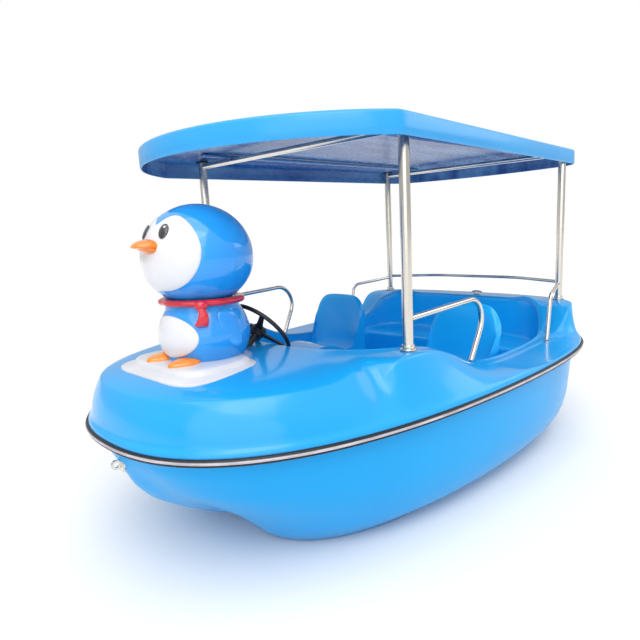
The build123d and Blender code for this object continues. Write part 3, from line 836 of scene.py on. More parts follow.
@dataclass
class DeckMoulding:
    """The deck: rounded foredeck, side humps, low sides, stern horns and the cockpit tub."""

    line: JointLine
    skin: float = 0.005
    lip: float = 0.007
    bench: float = 0.480
    floor: float = 0.205
    top_line: Table = (
        (1.60, 0.745), (1.20, 0.745), (0.85, 0.745), (0.72, 0.747), (0.62, 0.752), (0.54, 0.756), (0.40, 0.742),
        (0.287, 0.710), (0.182, 0.664), (0.092, 0.616), (-0.043, 0.572), (-0.264, 0.550), (-0.51, 0.549),
        (-0.735, 0.553), (-0.85, 0.570), (-0.92, 0.630), (-0.98, 0.700), (-1.05, 0.728), (-1.16, 0.732),
        (-1.34, 0.722), (-1.50, 0.722))
    edge_line: Table = (
        (1.60, 0.064), (1.446, 0.064), (1.20, 0.072), (0.95, 0.100), (0.83, 0.130), (0.765, 0.135), (0.70, 0.085),
        (0.64, 0.075), (0.50, 0.108), (0.30, 0.142), (0.10, 0.168), (-0.20, 0.192), (-0.50, 0.196),
        (-0.72, 0.180), (-0.88, 0.135), (-1.00, 0.066), (-1.09, 0.024), (-1.16, 0.017), (-1.25, 0.018),
        (-1.337, 0.036), (-1.50, 0.040))
    coaming: Table = (
        (0.712, 0.000), (0.712, 0.120), (0.700, 0.250), (0.662, 0.390), (0.600, 0.510), (0.516, 0.590),
        (0.400, 0.620), (0.200, 0.624), (0.000, 0.624), (-0.200, 0.636), (-0.500, 0.650), (-0.780, 0.652),
        (-0.920, 0.625), (-1.020, 0.550), (-1.080, 0.430), (-1.102, 0.270), (-1.105, 0.120), (-1.105, 0.000))
    footwell: Table = (
        (0.668, 0.000), (0.668, 0.150), (0.660, 0.330), (0.625, 0.450), (0.560, 0.540), (0.480, 0.582),
        (0.380, 0.598), (0.100, 0.600), (-0.200, 0.606), (-0.500, 0.615), (-0.640, 0.612), (-0.725, 0.570),
        (-0.760, 0.480), (-0.762, 0.250), (-0.762, 0.000))
    # places along the boat where the openings' points are matched to the joint line's
    coaming_marks: tuple[float, ...] = (0.62, 0.30, -0.60, -0.95)
    footwell_marks: tuple[float, ...] = (0.50, 0.25, -0.50, -0.70)
    # pairs of inset and height, or of inset and drop
    welt: Table = ((0.0, 0.5315), (0.0, 0.541), (0.003, 0.5515))
    coaming_lip: Table = ((0.008, 0.003), (0.014, 0.012), (0.016, 0.030))
    coaming_wall: Table = ((0.018, 0.45), (0.020, 0.8), (0.023, 0.93), (0.030, 1.0))
    footwell_wall: Table = ((0.0, 0.479), (0.006, 0.474), (0.010, 0.460), (0.014, 0.37), (0.018, 0.27),
                            (0.024, 0.225), (0.034, 0.208), (0.055, 0.205))
    dip_depth: float = 0.058
    dip_place: float = 0.735
    dip_reach: float = 0.050
    bow_start: float = 0.84
    well_middle: Corner = (0.43, 0.0, 0.2)
    well_size: Corner = (0.56, 0.21, 0.1)

    def inner_line(self, controls: Table, joint: np.ndarray, marks: Sequence[float]) -> np.ndarray:
        """Half of an opening in plan, with its points beside the joint line's.

        Args:
            controls: Control points from the front to the back.
            joint: The joint line's half.
            marks: Places along the boat where both lines are matched.

        Returns:
            As many points as the joint line has.
        """
        dense = smooth_rows(np.array(controls, float), 24)
        share = [0.0, *[share_at(joint, x) for x in marks], 1.0]
        target = [0.0, *[share_at(dense, x) for x in marks], 1.0]
        return resample(dense, self.line.places + 1, share, target)

    def rows(self) -> np.ndarray:
        """Control rows from the joint up over the shoulder, across the deck and down into the tub.

        Returns:
            The half rows, bow to stern.
        """
        joint = self.line.half()
        normal = inward(joint)
        top, edge = table(self.top_line), table(self.edge_line)
        x = joint[:, 0]
        inset = edge(x)
        bow = 1 / (1 + np.exp(-(x - self.bow_start) / 0.035))
        corner = joint + normal * inset[:, None]
        dip = self.dip_depth * np.exp(-((x - self.dip_place) / self.dip_reach) ** 2)
        crest = top(corner[:, 0]) - 0.004 - 0.032 * bow - dip
        made = [at_height(joint + normal * step, z) for step, z in self.welt]
        foot = np.minimum(0.563, crest)
        made.append(at_height(joint + normal * 0.014, foot))
        for share in (0.12, 0.35, 0.62, 0.84, 0.95):
            bent = share * (1 - bow) + share ** 1.9 * bow
            wall = 0.016 + (inset - 0.016) * bent
            made.append(at_height(joint + normal * wall[:, None], foot + (crest - foot) * share))
        made.append(at_height(corner, crest))
        over = 0.028 + 0.085 * bow + 0.03 * dip / self.dip_depth
        shoulder = joint + normal * (inset + over * 0.5)[:, None]
        made.append(at_height(shoulder, top(shoulder[:, 0]) + 0.001 - 0.019 * bow - 0.35 * dip))
        shoulder = joint + normal * (inset + over)[:, None]
        made.append(at_height(shoulder, top(shoulder[:, 0]) - 0.1 * dip - 0.011 * bow))
        return np.array(made + self._side_deck(joint, shoulder, bow) + self._tub(joint))

    def _rim(self, joint: np.ndarray) -> tuple[np.ndarray, np.ndarray]:
        """The coaming's edge in plan and its height.

        Args:
            joint: The joint line's half.

        Returns:
            Plan points and their heights.
        """
        rim = self.inner_line(self.coaming, joint, self.coaming_marks)
        lobes = 0.022 * np.exp(-((rim[:, 1] - 0.47) / 0.085) ** 2) * (rim[:, 0] < -0.9)
        height = table(self.top_line)(rim[:, 0]) + self.lip + lobes - 0.004 * (rim[:, 0] < -1.0)
        return rim, height

    def _side_deck(self, joint: np.ndarray, shoulder: np.ndarray, bow: np.ndarray) -> list[np.ndarray]:
        """Rows from the shoulder across the deck to the coaming's edge.

        Args:
            joint: The joint line's half.
            shoulder: Plan points where the deck starts.
            bow: How far each point belongs to the foredeck, from 0 to 1.

        Returns:
            The rows, the coaming's edge last.
        """
        top = table(self.top_line)
        rim, rim_height = self._rim(joint)
        made = []
        for share in (0.25, 0.5, 0.72, 0.86, 0.95):
            plan = shoulder + (rim - shoulder) * share
            blend = np.clip((share - 0.5) / 0.45, 0, 1) ** 1.5
            sink = 0.008 * bow * np.clip(1 - share / 0.6, 0, 1)
            made.append(at_height(plan, top(plan[:, 0]) * (1 - blend) + rim_height * blend - sink))
        made.append(at_height(rim, rim_height))
        return made

    def _tub(self, joint: np.ndarray) -> list[np.ndarray]:
        """Rows from the coaming down to the bench and ledges, and on down to the floor.

        Args:
            joint: The joint line's half.

        Returns:
            The rows, the floor's middle last.
        """
        rim, rim_height = self._rim(joint)
        rim_normal = inward(rim)
        made = [at_height(rim + rim_normal * step, rim_height - drop) for step, drop in self.coaming_lip]
        wall_top = rim_height - self.coaming_lip[-1][1]
        for step, share in self.coaming_wall:
            made.append(at_height(rim + rim_normal * step, wall_top * (1 - share) + self.bench * share))
        ledge = rim + rim_normal * 0.034
        foot_line = self.inner_line(self.footwell, joint, self.footwell_marks)
        for share in (0.12, 0.35, 0.6, 0.82, 0.94):
            plan = ledge + (foot_line - ledge) * share
            hollow = 0.012 * np.sin(math.pi * share) * np.clip((-0.80 - plan[:, 0]) / 0.1, 0, 1)
            hollow *= np.clip(np.abs(plan[:, 1]) / 0.12, 0, 1)
            made.append(at_height(plan, self.bench - hollow))
        foot_normal = inward(foot_line)
        made += [at_height(foot_line + foot_normal * step, z) for step, z in self.footwell_wall]
        spine = np.stack([np.clip(foot_line[:, 0], -0.55, 0.45), np.zeros(len(foot_line))], axis=1)
        made += [at_height(foot_line + (spine - foot_line) * share, self.floor) for share in (0.2, 0.55, 1.0)]
        return made

    def build(self) -> bpy.types.Object:
        """Skin the deck and give it its thickness.

        Returns:
            The deck mesh.
        """
        skinned = smooth_rows(self.rows(), 3)
        skinned[-1, :, 1] = 0.0
        rings = np.array([whole(row) for row in skinned])
        deck = loft("deck", rings)
        modify(deck, "SOLIDIFY", thickness=self.skin, offset=-1.0, use_rim=True)
        combine(deck, box_piece("deck_well_cutter", self.well_middle, self.well_size), "DIFFERENCE")
        smooth(deck, 40)
        AZURE.dress(deck)
        self._paint_tub_light(deck)
        return deck

    def _paint_tub_light(self, deck: bpy.types.Object) -> None:
        """Give the faces inside the coaming the brighter copy of the azure finish, painted light in place of the
        shade under the canopy.

        Args:
            deck: The finished deck mesh.
        """
        # Second slot: the brighter azure copy, painted light for the shaded tub.
        deck.data.materials.append(PAINTED_LIGHT_AZURE.build())
        rim = smooth_rows(np.array(self.coaming, float), 24)
        top = table(self.top_line)
        for face in deck.data.polygons:
            x, y, z = face.center
            reach = float(np.interp(-x, -rim[:, 0], rim[:, 1])) if x < 0.52 else 0.59
            inside = -1.10 < x < 0.70 and abs(y) < max(reach, 0.0) + 0.004
            if inside and z < float(top(np.array(x))) - 0.008:
                face.material_index = 1


@dataclass
class RubRail:
    """Black rubber rail round the joint with a pale strip pressed into its groove."""

    line: JointLine
    middle: float = 0.5238
    half_height: float = 0.0130
    reach: float = 0.0105
    strip_half: float = 0.0056

    def _band(self, name: str, profile: Table) -> bpy.types.Object:
        """Closed band round the joint.

        Args:
            name: What the piece is called.
            profile: Corners of its section, outward from the joint and up from the rail's middle.

        Returns:
            The band.
        """
        joint = self.line.half()
        normal = inward(joint)
        rows = [whole(at_height(joint - normal * out, self.middle + up)) for out, up in profile]
        made = loft(name, np.array(rows + rows[:1]), close=True)
        smooth(made, 50)
        return made

    def build(self) -> None:
        """Make the rail and its strip, and put them in place of the plain bands."""
        h, r, s = self.half_height, self.reach, self.strip_half
        bead = [(-0.002, -h), (0.007, -h), (r - 0.004, -h + 0.0015), (r - 0.001, -h + 0.004), (r, -s - 0.0022),
                (r - 0.0015, -s - 0.0008), (r - 0.005, -s), (r - 0.005, s), (r - 0.0015, s + 0.0008),
                (r, s + 0.0022), (r - 0.001, h - 0.004), (r - 0.004, h - 0.0015), (0.007, h), (-0.002, h)]
        rail = self._band("rub_rail_rubber", bead)
        place_piece(rail, "boat", RUBBER, ["rub_rail"])
        arc = [(r - 0.0055, -s + 0.0002), (r - 0.001, -s + 0.0004), (r + 0.0016, -s * 0.7), (r + 0.0028, -s * 0.3),
               (r + 0.0028, s * 0.3), (r + 0.0016, s * 0.7), (r - 0.001, s - 0.0004), (r - 0.0055, s - 0.0002)]
        strip = self._band("rub_rail_insert", arc)
        place_piece(strip, "boat", STRIP, ["rub_rail_strip"])


@dataclass
class Canopy:
    """The canopy: bowed front, sharp front corners, rounded rear, straight skirt and crowned top."""

    low: float = 1.5365
    shoulder: float = 1.6165
    crown: float = 1.645
    corner: tuple[float, float] = (0.664, 0.746)
    front: float = 1.088
    rear_corner: tuple[float, float] = (-1.330, 0.664)
    rear: float = -1.466
    skin: float = 0.006
    rib_middle: Corner = (-0.3, 0.42, 1.6140)
    rib_size: Corner = (1.9, 0.035, 0.014)
    places: int = 120

    def half(self, inset: float) -> np.ndarray:
        """Port half of the plan from front to rear.

        Args:
            inset: How far it is drawn in.

        Returns:
            places + 1 points.
        """
        cx, cy = self.corner
        bow = self.front - cx
        radius = (cy ** 2 + bow ** 2) / (2 * bow)
        sweep = np.linspace(0, math.asin(cy / radius), 200)
        arc = np.stack([self.front - radius + radius * np.cos(sweep), radius * np.sin(sweep)], axis=1)
        rx, ry = self.rear_corner
        tail = rx - self.rear
        rear_radius = (ry ** 2 + tail ** 2) / (2 * tail)
        sweep = np.linspace(math.asin(ry / rear_radius), 0, 200)
        back = np.stack([self.rear + rear_radius * (1 - np.cos(sweep)), rear_radius * np.sin(sweep)], axis=1)
        line = np.vstack([arc, np.linspace(arc[-1], back[0], 200)[1:], back[1:]])
        line = self._round(line, (rx, ry), 0.13)
        line = self._round(line, (cx, cy), 0.02)
        even = resample(line, self.places + 1)
        return even + inward(even) * inset

    @staticmethod
    def _round(line: np.ndarray, corner: tuple[float, float], reach: float) -> np.ndarray:
        """Round one corner of a plan line.

        Args:
            line: The plan line.
            corner: The corner's place.
            reach: How far from it the bend starts.

        Returns:
            The line with a bend in place of the corner.
        """
        away = np.linalg.norm(line - np.array(corner), axis=1)
        near = np.nonzero(away < reach)[0]
        first, last = line[near[0]], line[near[-1]]
        t = np.linspace(0, 1, 30)[:, None]
        bend = (1 - t) ** 2 * first + 2 * t * (1 - t) * np.array(corner) + t ** 2 * last
        return np.vstack([line[:near[0]], bend, line[near[-1] + 1:]])

    def _ring(self, inset: float, height: float, shrink: float = 1.0) -> np.ndarray:
        """One level of the canopy.

        Args:
            inset: How far the plan is drawn in.
            height: The level.
            shrink: Its size after it is drawn towards the middle.

        Returns:
            The closed ring.
        """
        plan = self.half(inset)
        middle = np.array([(self.front + self.rear) / 2, 0.0])
        return whole(at_height(middle + (plan - middle) * shrink, height))

    def build(self) -> None:
        """Make the canopy shell with its lining."""
        low, shoulder = self.low, self.shoulder
        rise = self.crown - shoulder
        skirt = ((self.skin, low + 0.001), (0.002, low), (0.0, low + 0.004), (0.0, low + 0.03),
                 (0.0, shoulder - 0.010), (0.002, shoulder - 0.003), (0.008, shoulder + 0.002))
        rows = [self._ring(inset, height) for inset, height in skirt]
        for share in (0.93, 0.85, 0.7, 0.5, 0.25, 0.08):
            rows.append(self._ring(0.008, shoulder + rise * (1 - share ** 2.4), share))
        top = loft("canopy_top", np.array(rows))
        self._plug(top)
        walls = ((self.skin, low + 0.001), (self.skin + 0.001, low + 0.03),
                 (self.skin + 0.003, shoulder - 0.020), (0.016, shoulder - 0.008), (0.040, shoulder - 0.004))
        inner = [self._ring(inset, height) for inset, height in walls]
        for share in (0.93, 0.86, 0.84, 0.82, 0.7, 0.5, 0.25, 0.08):
            lift = rise * (1 - share ** 2.4) if share < 0.85 else rise * 0.12
            inner.append(self._ring(0.02, shoulder - 0.004 + lift * 0.8, share))
        lining = loft("canopy_lining_skin", np.array(inner), flip=True)
        self._plug(lining)
        CANOPY_AZURE.dress(top)
        CANOPY_LINING.dress(lining)
        shell = join("canopy_shell", [top, lining])
        with open_mesh(shell.data) as work:
            bmesh.ops.remove_doubles(work, verts=work.verts, dist=2e-5)
            bmesh.ops.recalc_face_normals(work, faces=work.faces)
        smooth(shell, 40)
        place_piece(shell, "boat", nodes=["roof_panel"])

    def _plug(self, piece: bpy.types.Object) -> None:
        """Close the small hole left in the middle of the last ring.

        Args:
            piece: The canopy's top or its lining.
        """
        with open_mesh(piece.data) as work:
            rim = [e for e in work.edges if e.is_boundary and all(v.co.z > self.low + 0.05 for v in e.verts)]
            bmesh.ops.contextual_create(work, geom=rim)

    def ribs(self) -> None:
        """Long stiffening ribs under the canopy."""
        parts = []
        for sign in (-1, 1):
            rib = box_piece("canopy_rib", (self.rib_middle[0], sign * self.rib_middle[1], self.rib_middle[2]),
                            self.rib_size)
            round_edges(rib, 0.008)
            parts.append(rib)
        made = join("canopy_ribs", parts)
        smooth(made, 50)
        place_piece(made, "boat", CANOPY_LINING)


@dataclass
class FrontSeat:
    """One moulded bucket seat: pedestal, pan, and a tall back whose edges wrap forwards."""

    inner: float = 0.252
    width: float = 0.384
    stations: tuple[float, ...] = (-1.0, -0.97, -0.90, -0.78, -0.6, -0.3, 0.0, 0.3, 0.6, 0.78, 0.90, 0.97, 1.0)

    def section(self, across: float) -> np.ndarray:
        """Side outline of the seat at a place across it.

        Args:
            across: From -1 at the inner edge to 1 at the outer edge.

        Returns:
            Corner points, along the boat and up, from the front foot over the pan and back to the rear foot.
        """
        edge = abs(across) ** 3.2
        wrap = 0.024 * abs(across) ** 3.0
        crown = 0.814 - 0.110 * abs(across) ** 6.5
        bolster = 0.020 * abs(across) ** 4
        return np.array([
            (0.052 - 0.012 * edge, 0.206), (0.056 - 0.012 * edge, 0.30), (0.058 - 0.014 * edge, 0.43),
            (0.052 - 0.014 * edge, 0.472), (0.020, 0.489), (-0.03, 0.484 + bolster), (-0.12, 0.470 + bolster),
            (-0.22, 0.462 + bolster), (-0.268 + wrap * 0.6, 0.474 + bolster), (-0.292 + wrap, 0.52),
            (-0.304 + wrap, 0.60), (-0.314 + wrap, 0.68), (-0.323 + wrap, crown - 0.045),
            (-0.330 + wrap * 0.8, crown - 0.012), (-0.346 + wrap * 0.5, crown),
            (-0.362 + 0.012 * edge, crown - 0.014), (-0.369 + 0.020 * edge, crown - 0.05),
            (-0.368 + 0.024 * edge, 0.66), (-0.362 + 0.022 * edge, 0.56), (-0.356 + 0.016 * edge, 0.45),
            (-0.350 + 0.010 * edge, 0.30), (-0.346 + 0.010 * edge, 0.206)])

    def build(self, side: str) -> None:
        """Make one seat.

        Args:
            side: port or starboard.
        """
        sign = SIDES[side]
        half = self.width / 2
        rows = []
        for across in self.stations:
            outline = self.section(across)
            level = np.clip((outline[:, 1] - 0.50) / 0.08, 0, 1)
            lower = half - 0.036 * (across > 0) - 0.004
            reach = lower + (half - lower) * level
            y = sign * (self.inner + half + across * reach)
            rows.append(np.column_stack([outline[:, 0], y, outline[:, 1]]))
        seat = loft(f"seat_{side}", np.array(rows), caps=True, close=True)
        modify(seat, "SUBSURF", levels=3, render_levels=3)
        smooth(seat, 60)
        # The seat takes the brighter azure copy: painted light for the shaded cockpit.
        place_piece(seat, "boat", PAINTED_LIGHT_AZURE, [f"front_seat_{side}"])


# ---- steering ---------------------------------------------------------------------------------------------
@dataclass
class SteeringWheel:
    """Black wheel on the foredeck: round rim, flat spokes, boss and cap."""

    centre: Corner = (0.720, 0.0, 0.810)
    lean: float = 38.0
    radius: float = 0.156
    rim: float = 0.009
    spokes: int = 4

    def axis_frame(self) -> Matrix:
        """Find the wheel's own frame.

        Returns:
            Place of the wheel's middle, with Z along its axis towards the driver.
        """
        tilt = math.radians(self.lean)
        axis = Vector((-math.cos(tilt), 0.0, math.sin(tilt)))
        across = Vector((0.0, 1.0, 0.0))
        turn = Matrix((across, axis.cross(across), axis)).transposed().to_4x4()
        return Matrix.Translation(self.centre) @ turn

    def _spoke(self, turn: float) -> bpy.types.Object:
        """One spoke, wider and dished towards the boss.

        Args:
            turn: Its direction about the axis, in degrees.

        Returns:
            The spoke, in the wheel's own frame.
        """
        spoke = start(bpy.ops.mesh.primitive_cube_add, "wheel_spoke", size=1.0, location=(0.5, 0, 0))
        bpy.ops.object.mode_set(mode="EDIT")
        bpy.ops.mesh.subdivide(number_cuts=7)
        bpy.ops.object.mode_set(mode="OBJECT")
        for vertex in spoke.data.vertices:
            t = vertex.co.x + 0.5
            vertex.co.x = 0.020 + t * (self.radius - 0.022) - 0.5
            vertex.co.y *= 0.040 - 0.040 * t + 0.022 * t * t
            vertex.co.z = vertex.co.z * 0.008 - 0.012 * (1 - t) ** 1.5 + 0.002
        settle(spoke)
        spoke.rotation_euler = (0, 0, math.radians(turn))
        settle(spoke)
        round_edges(spoke, 0.0022, 2)
        return spoke

    def build(self) -> None:
        """Make the rim, the spokes and the boss as one moulded piece, and the cap on it."""
        parts = [start(bpy.ops.mesh.primitive_torus_add, "wheel_rim", major_radius=self.radius,
                       minor_radius=self.rim, major_segments=96, minor_segments=20)]
        parts += [self._spoke(45 + 360 / self.spokes * i) for i in range(self.spokes)]
        boss = disc("wheel_boss", (0, 0, -0.006), 0.036, 0.026)
        round_edges(boss, 0.005, 4)
        parts.append(boss)
        wheel = join("steering_wheel_moulding", parts)
        wheel.matrix_world = self.axis_frame()
        settle(wheel)
        smooth(wheel, 45)
        place_piece(wheel, "steering", BLACK, ["steering_wheel"])
        cap = ball("wheel_cap", (0.026, 0.026, 0.0091), self.axis_frame() @ Matrix.Translation((0, 0, 0.012)), 48)
        smooth(cap, 60)
        place_piece(cap, "steering", STEEL)


# ---- figurehead -------------------------------------------------------------------------------------------
@dataclass
class Penguin:
    """A plain painted penguin on a white plinth, looking a little upwards."""

    centre: Corner = (1.000, 0.0, 1.160)
    radius: float = 0.217
    lift: float = 12.0
    plinth_low: float = 0.7270
    plinth_high: float = 0.7660
    plinth_middle: float = 1.076
    plinth_half: tuple[float, float] = (0.208, 0.282)
    plinth_corner: float = 0.46
    # how far each level of the plinth grows past its half sizes, and its height above the foot
    plinth_steps: Table = ((-0.004, 0.0), (0.0, 0.002), (-0.001, 0.008), (-0.006, 0.0115), (-0.044, 0.0215),
                           (-0.052, 0.0340), (-0.057, 0.0385), (-0.066, 0.0405), (-0.10, 0.0405))
    patch_proud: float = 0.0035
    # share of the patch's size and of its stand-off, from the middle of its face round to its back
    patch_steps: Table = ((0.02, 1.0), (0.25, 1.0), (0.5, 1.0), (0.72, 1.0), (0.88, 1.0), (0.96, 0.92),
                          (0.99, 0.6), (1.0, 0.1), (0.995, -0.9), (0.90, -0.9), (0.5, -0.9), (0.02, -0.9))
    knot_yaw: float = 0.95
    knot_out: float = 0.172

    def head_point(self, yaw: np.ndarray, rise: np.ndarray, proud: float = 0.0) -> np.ndarray:
        """Point on the head by direction.

        Args:
            yaw: Turn from the bow towards port.
            rise: Angle above level.
            proud: How far the point stands off the head.

        Returns:
            Points in the row frame.
        """
        aim = np.stack([np.cos(rise) * np.cos(yaw), np.cos(rise) * np.sin(yaw), np.sin(rise)], axis=-1)
        scale = np.array([0.985, 1.0, 0.93])
        cheeks = 1 + 0.020 * np.exp(-((rise + 0.35) / 0.35) ** 2)
        return np.array(self.centre) + aim * scale * (self.radius * cheeks[..., None] + proud)

    def _head(self) -> bpy.types.Object:
        """Make the round head.

        Returns:
            The head.
        """
        yaw = circle(96)
        rows = [self.head_point(yaw, np.full_like(yaw, rise)) for rise in np.linspace(-1.25, math.pi / 2, 46)]
        return closed_skin("penguin_head", rows)

    def _plate(self, name: str, surface: Callable[..., np.ndarray], middle: tuple[float, float],
               reach: Callable[[np.ndarray], np.ndarray]) -> bpy.types.Object:
        """Make a painted patch that stands a little proud of a rounded body.

        Args:
            name: What the piece is called.
            surface: Gives points on the body from yaw, rise and a stand-off.
            middle: Yaw and rise of the patch's middle.
            reach: Angular size of the patch by turn about its middle.

        Returns:
            The patch as a closed shell.
        """
        turn = circle(128)
        rows = []
        for share, off in self.patch_steps:
            size = reach(turn) * share
            rows.append(surface(middle[0] + size * np.cos(turn), middle[1] + size * np.sin(turn),
                                self.patch_proud * off))
        return closed_skin(name, rows)

    @staticmethod
    def _face_reach(turn: np.ndarray) -> np.ndarray:
        """Size of the heart-shaped face patch, with two lobes above and round below.

        Args:
            turn: Angles about the patch's middle.

        Returns:
            Angular sizes.
        """
        peak = 0.36 * np.exp(-((turn - math.pi / 2) / 0.42) ** 2)
        wide = 0.16 * np.cos(turn) ** 2
        return 0.88 + wide - peak - 0.10 * np.exp(-((turn - 1.5 * math.pi) / 0.8) ** 2)

    def body_point(self, yaw: np.ndarray, rise: np.ndarray, proud: float = 0.0) -> np.ndarray:
        """Point on the trunk.

        Args:
            yaw: Turn from the bow towards port.
            rise: Height from the trunk's middle, in tenths of a metre.
            proud: How far the point stands off the trunk.

        Returns:
            Points in the row frame.
        """
        z = 0.880 + rise * 0.10
        share = np.clip((z - self.plinth_high) / (0.985 - self.plinth_high), 0, 1)
        width = 0.158 + 0.030 * np.sin(math.pi * np.clip(share * 1.15, 0, 1)) - 0.010 * share ** 2
        width += proud
        x = self.centre[0] + width * np.cos(yaw) * 0.97
        return np.stack([x, width * np.sin(yaw), np.broadcast_to(z, x.shape)], axis=-1)

    def _body(self) -> bpy.types.Object:
        """Make the trunk.

        Returns:
            The trunk.
        """
        yaw = circle(96)
        rows = [self.body_point(yaw, np.full_like(yaw, rise)) for rise in np.linspace(-1.15, 1.10, 34)]
        return closed_skin("penguin_trunk", rows)

    def _beak(self) -> bpy.types.Object:
        """Make the short wide beak, with a line between its halves.

        Returns:
            The beak, lifted with the head.
        """
        parts = []
        turn = circle(48)
        for upper in (True, False):
            rows = []
            for t in np.linspace(0, 1, 18):
                size = (1 - t ** 2.2) ** 0.5 if t < 1 else 0.0
                wide = 0.056 * size + 0.0004
                high = (0.030 if upper else 0.020) * size + 0.0003
                y = wide * np.cos(turn)
                z = np.where(np.sin(turn) > 0, high, high * 0.35) * np.sin(turn)
                if not upper:
                    z = -z
                lower = 0.012 * t ** 2 if upper else -0.004 * t
                x = 0.190 + t * (0.088 if upper else 0.066)
                rows.append(np.column_stack([np.full_like(y, x), y, z + (0.004 if upper else -0.006) - lower]))
            parts.append(loft("beak_half", np.array(rows), caps=True, close=True))
        made = join("penguin_beak", parts)
        made.matrix_world = Matrix.Translation(self.centre) @ Matrix.Rotation(math.radians(-self.lift), 4, "Y")
        settle(made)
        smooth(made, 60)
        return made

    def _eyes(self) -> tuple[bpy.types.Object, bpy.types.Object]:
        """Make two dark oval eyes, each with one small white painted highlight (glint).

        Returns:
            The eyes and their painted highlights.
        """
        # The second set is a small white spot on each eye, a painted highlight (glint).
        darks, glints = [], []
        for sign in (1, -1):
            for store, yaw, rise, proud, radii in (
                    (darks, 0.34, 0.52, 0.004, (0.007, 0.021, 0.030)),
                    (glints, 0.36, 0.585, 0.0088, (0.0035, 0.006, 0.007))):
                spot = Vector(self.head_point(np.array(yaw * sign), np.array(rise), proud))
                aim = (spot - Vector(self.centre)).normalized()
                turn = aim.to_track_quat("X", "Z").to_matrix().to_4x4()
                store.append(ball("eye", radii, Matrix.Translation(spot) @ turn))
        dark, light = join("penguin_eyes", darks), join("penguin_eye_glints", glints)
        smooth(dark, 60)
        smooth(light, 60)
        return dark, light

    def _flipper(self, sign: float) -> bpy.types.Object:
        """Make one flat wing, bent along the trunk and turned out at its tip.

        Args:
            sign: 1 for port, -1 for starboard.

        Returns:
            The wing.
        """
        turn = circle(32)
        rows = []
        for t in np.linspace(0, 1, 20):
            size = math.sqrt(max(0.0, 1 - (2 * t - 1) ** 4 * 0.999))
            wide = (0.052 - 0.020 * t) * size
            thick = (0.015 - 0.006 * t) * size
            x = self.centre[0] + 0.010 - 0.030 * t + wide * np.cos(turn)
            y = sign * (0.158 + 0.030 * t ** 1.3 + thick * np.sin(turn))
            rows.append(np.column_stack([x, y, np.full_like(turn, 0.962 - 0.150 * t)]))
        return closed_skin("flipper", rows)

    def _scarf(self) -> bpy.types.Object:
        """Make the red band round the neck, with a knot and one short tail.

        Returns:
            The scarf as one piece.
        """
        place = Matrix.Translation((self.centre[0] + self.knot_out * math.cos(self.knot_yaw),
                                    self.knot_out * math.sin(self.knot_yaw), 0.985))
        band = self._scarf_band()
        knot = ball("scarf_knot", (0.020, 0.026, 0.020), place @ Matrix.Rotation(self.knot_yaw, 4, "Z"))
        made = join("penguin_scarf", [band, knot, self._scarf_tail()])
        smooth(made, 60)
        return made

    def _scarf_band(self) -> bpy.types.Object:
        """Make the band, a slightly wavy ring.

        Returns:
            The band, closed on itself.
        """
        rows = []
        yaw = circle(120)
        wave = 0.0016 * np.sin(9 * yaw) + 0.0012 * np.sin(14 * yaw + 1)
        for section in circle(20):
            out = 0.1520 + 0.017 * math.cos(section) + wave
            z = 0.988 + 0.0135 * math.sin(section) + 0.004 * np.cos(yaw)
            rows.append(np.column_stack([self.centre[0] + out * np.cos(yaw), out * np.sin(yaw), z]))
        return loft("scarf_band", np.array(rows + rows[:1]), close=True)

    def _scarf_tail(self) -> bpy.types.Object:
        """Make the tail, which hangs from the knot and widens downwards.

        Returns:
            The tail.
        """
        rows = []
        turn = circle(24)
        cos, sin = math.cos(self.knot_yaw), math.sin(self.knot_yaw)
        for t in np.linspace(0, 1, 14):
            out = 0.184 + 0.006 * math.sin(3 * t) + 0.006 * np.sin(turn)
            across = (0.012 + 0.014 * t) * np.cos(turn) + 0.006 * math.sin(4 * t)
            rows.append(np.column_stack([self.centre[0] + out * cos - across * sin, out * sin + across * cos,
                                         np.full_like(turn, 0.976 - 0.066 * t)]))
        return loft("scarf_tail", np.array(rows), caps=True, close=True)

    def _feet(self) -> bpy.types.Object:
        """Make two webbed feet that show in front of the trunk.

        Returns:
            The feet as one piece.
        """
        parts = []
        yaw = circle(72)
        toes = 1 + 0.13 * np.cos(3 * yaw) * np.clip(np.cos(yaw), 0, 1) ** 0.5
        for sign in (1, -1):
            rows = []
            for t in np.linspace(0, 1, 14):
                size = (1 - t ** 3) ** 0.6 if t < 1 else 0.02
                x = self.centre[0] + 0.150 + 0.066 * toes * size * np.cos(yaw)
                y = sign * 0.078 + 0.050 * toes * size * np.sin(yaw)
                rows.append(np.column_stack([x, y, np.full_like(x, self.plinth_high - 0.002 + 0.026 * t)]))
            parts.append(loft("foot", np.array(rows), caps=True, close=True))
        made = join("penguin_feet", parts)
        smooth(made, 60)
        return made

    def _plinth(self) -> bpy.types.Object:
        """Make the white stepped plinth with a rounded plan.

        Returns:
            The plinth.
        """
        turn = circle(160)
        cos, sin = np.cos(turn), np.sin(turn)
        along, across = self.plinth_half
        rows = []
        for grow, z in self.plinth_steps:
            x = self.plinth_middle + (along + grow) * np.sign(cos) * np.abs(cos) ** self.plinth_corner
            y = (across + grow) * np.sign(sin) * np.abs(sin) ** self.plinth_corner
            rows.append(np.column_stack([x, y, np.full_like(x, self.plinth_low + z)]))
        return closed_skin("figure_plinth", rows, 28)

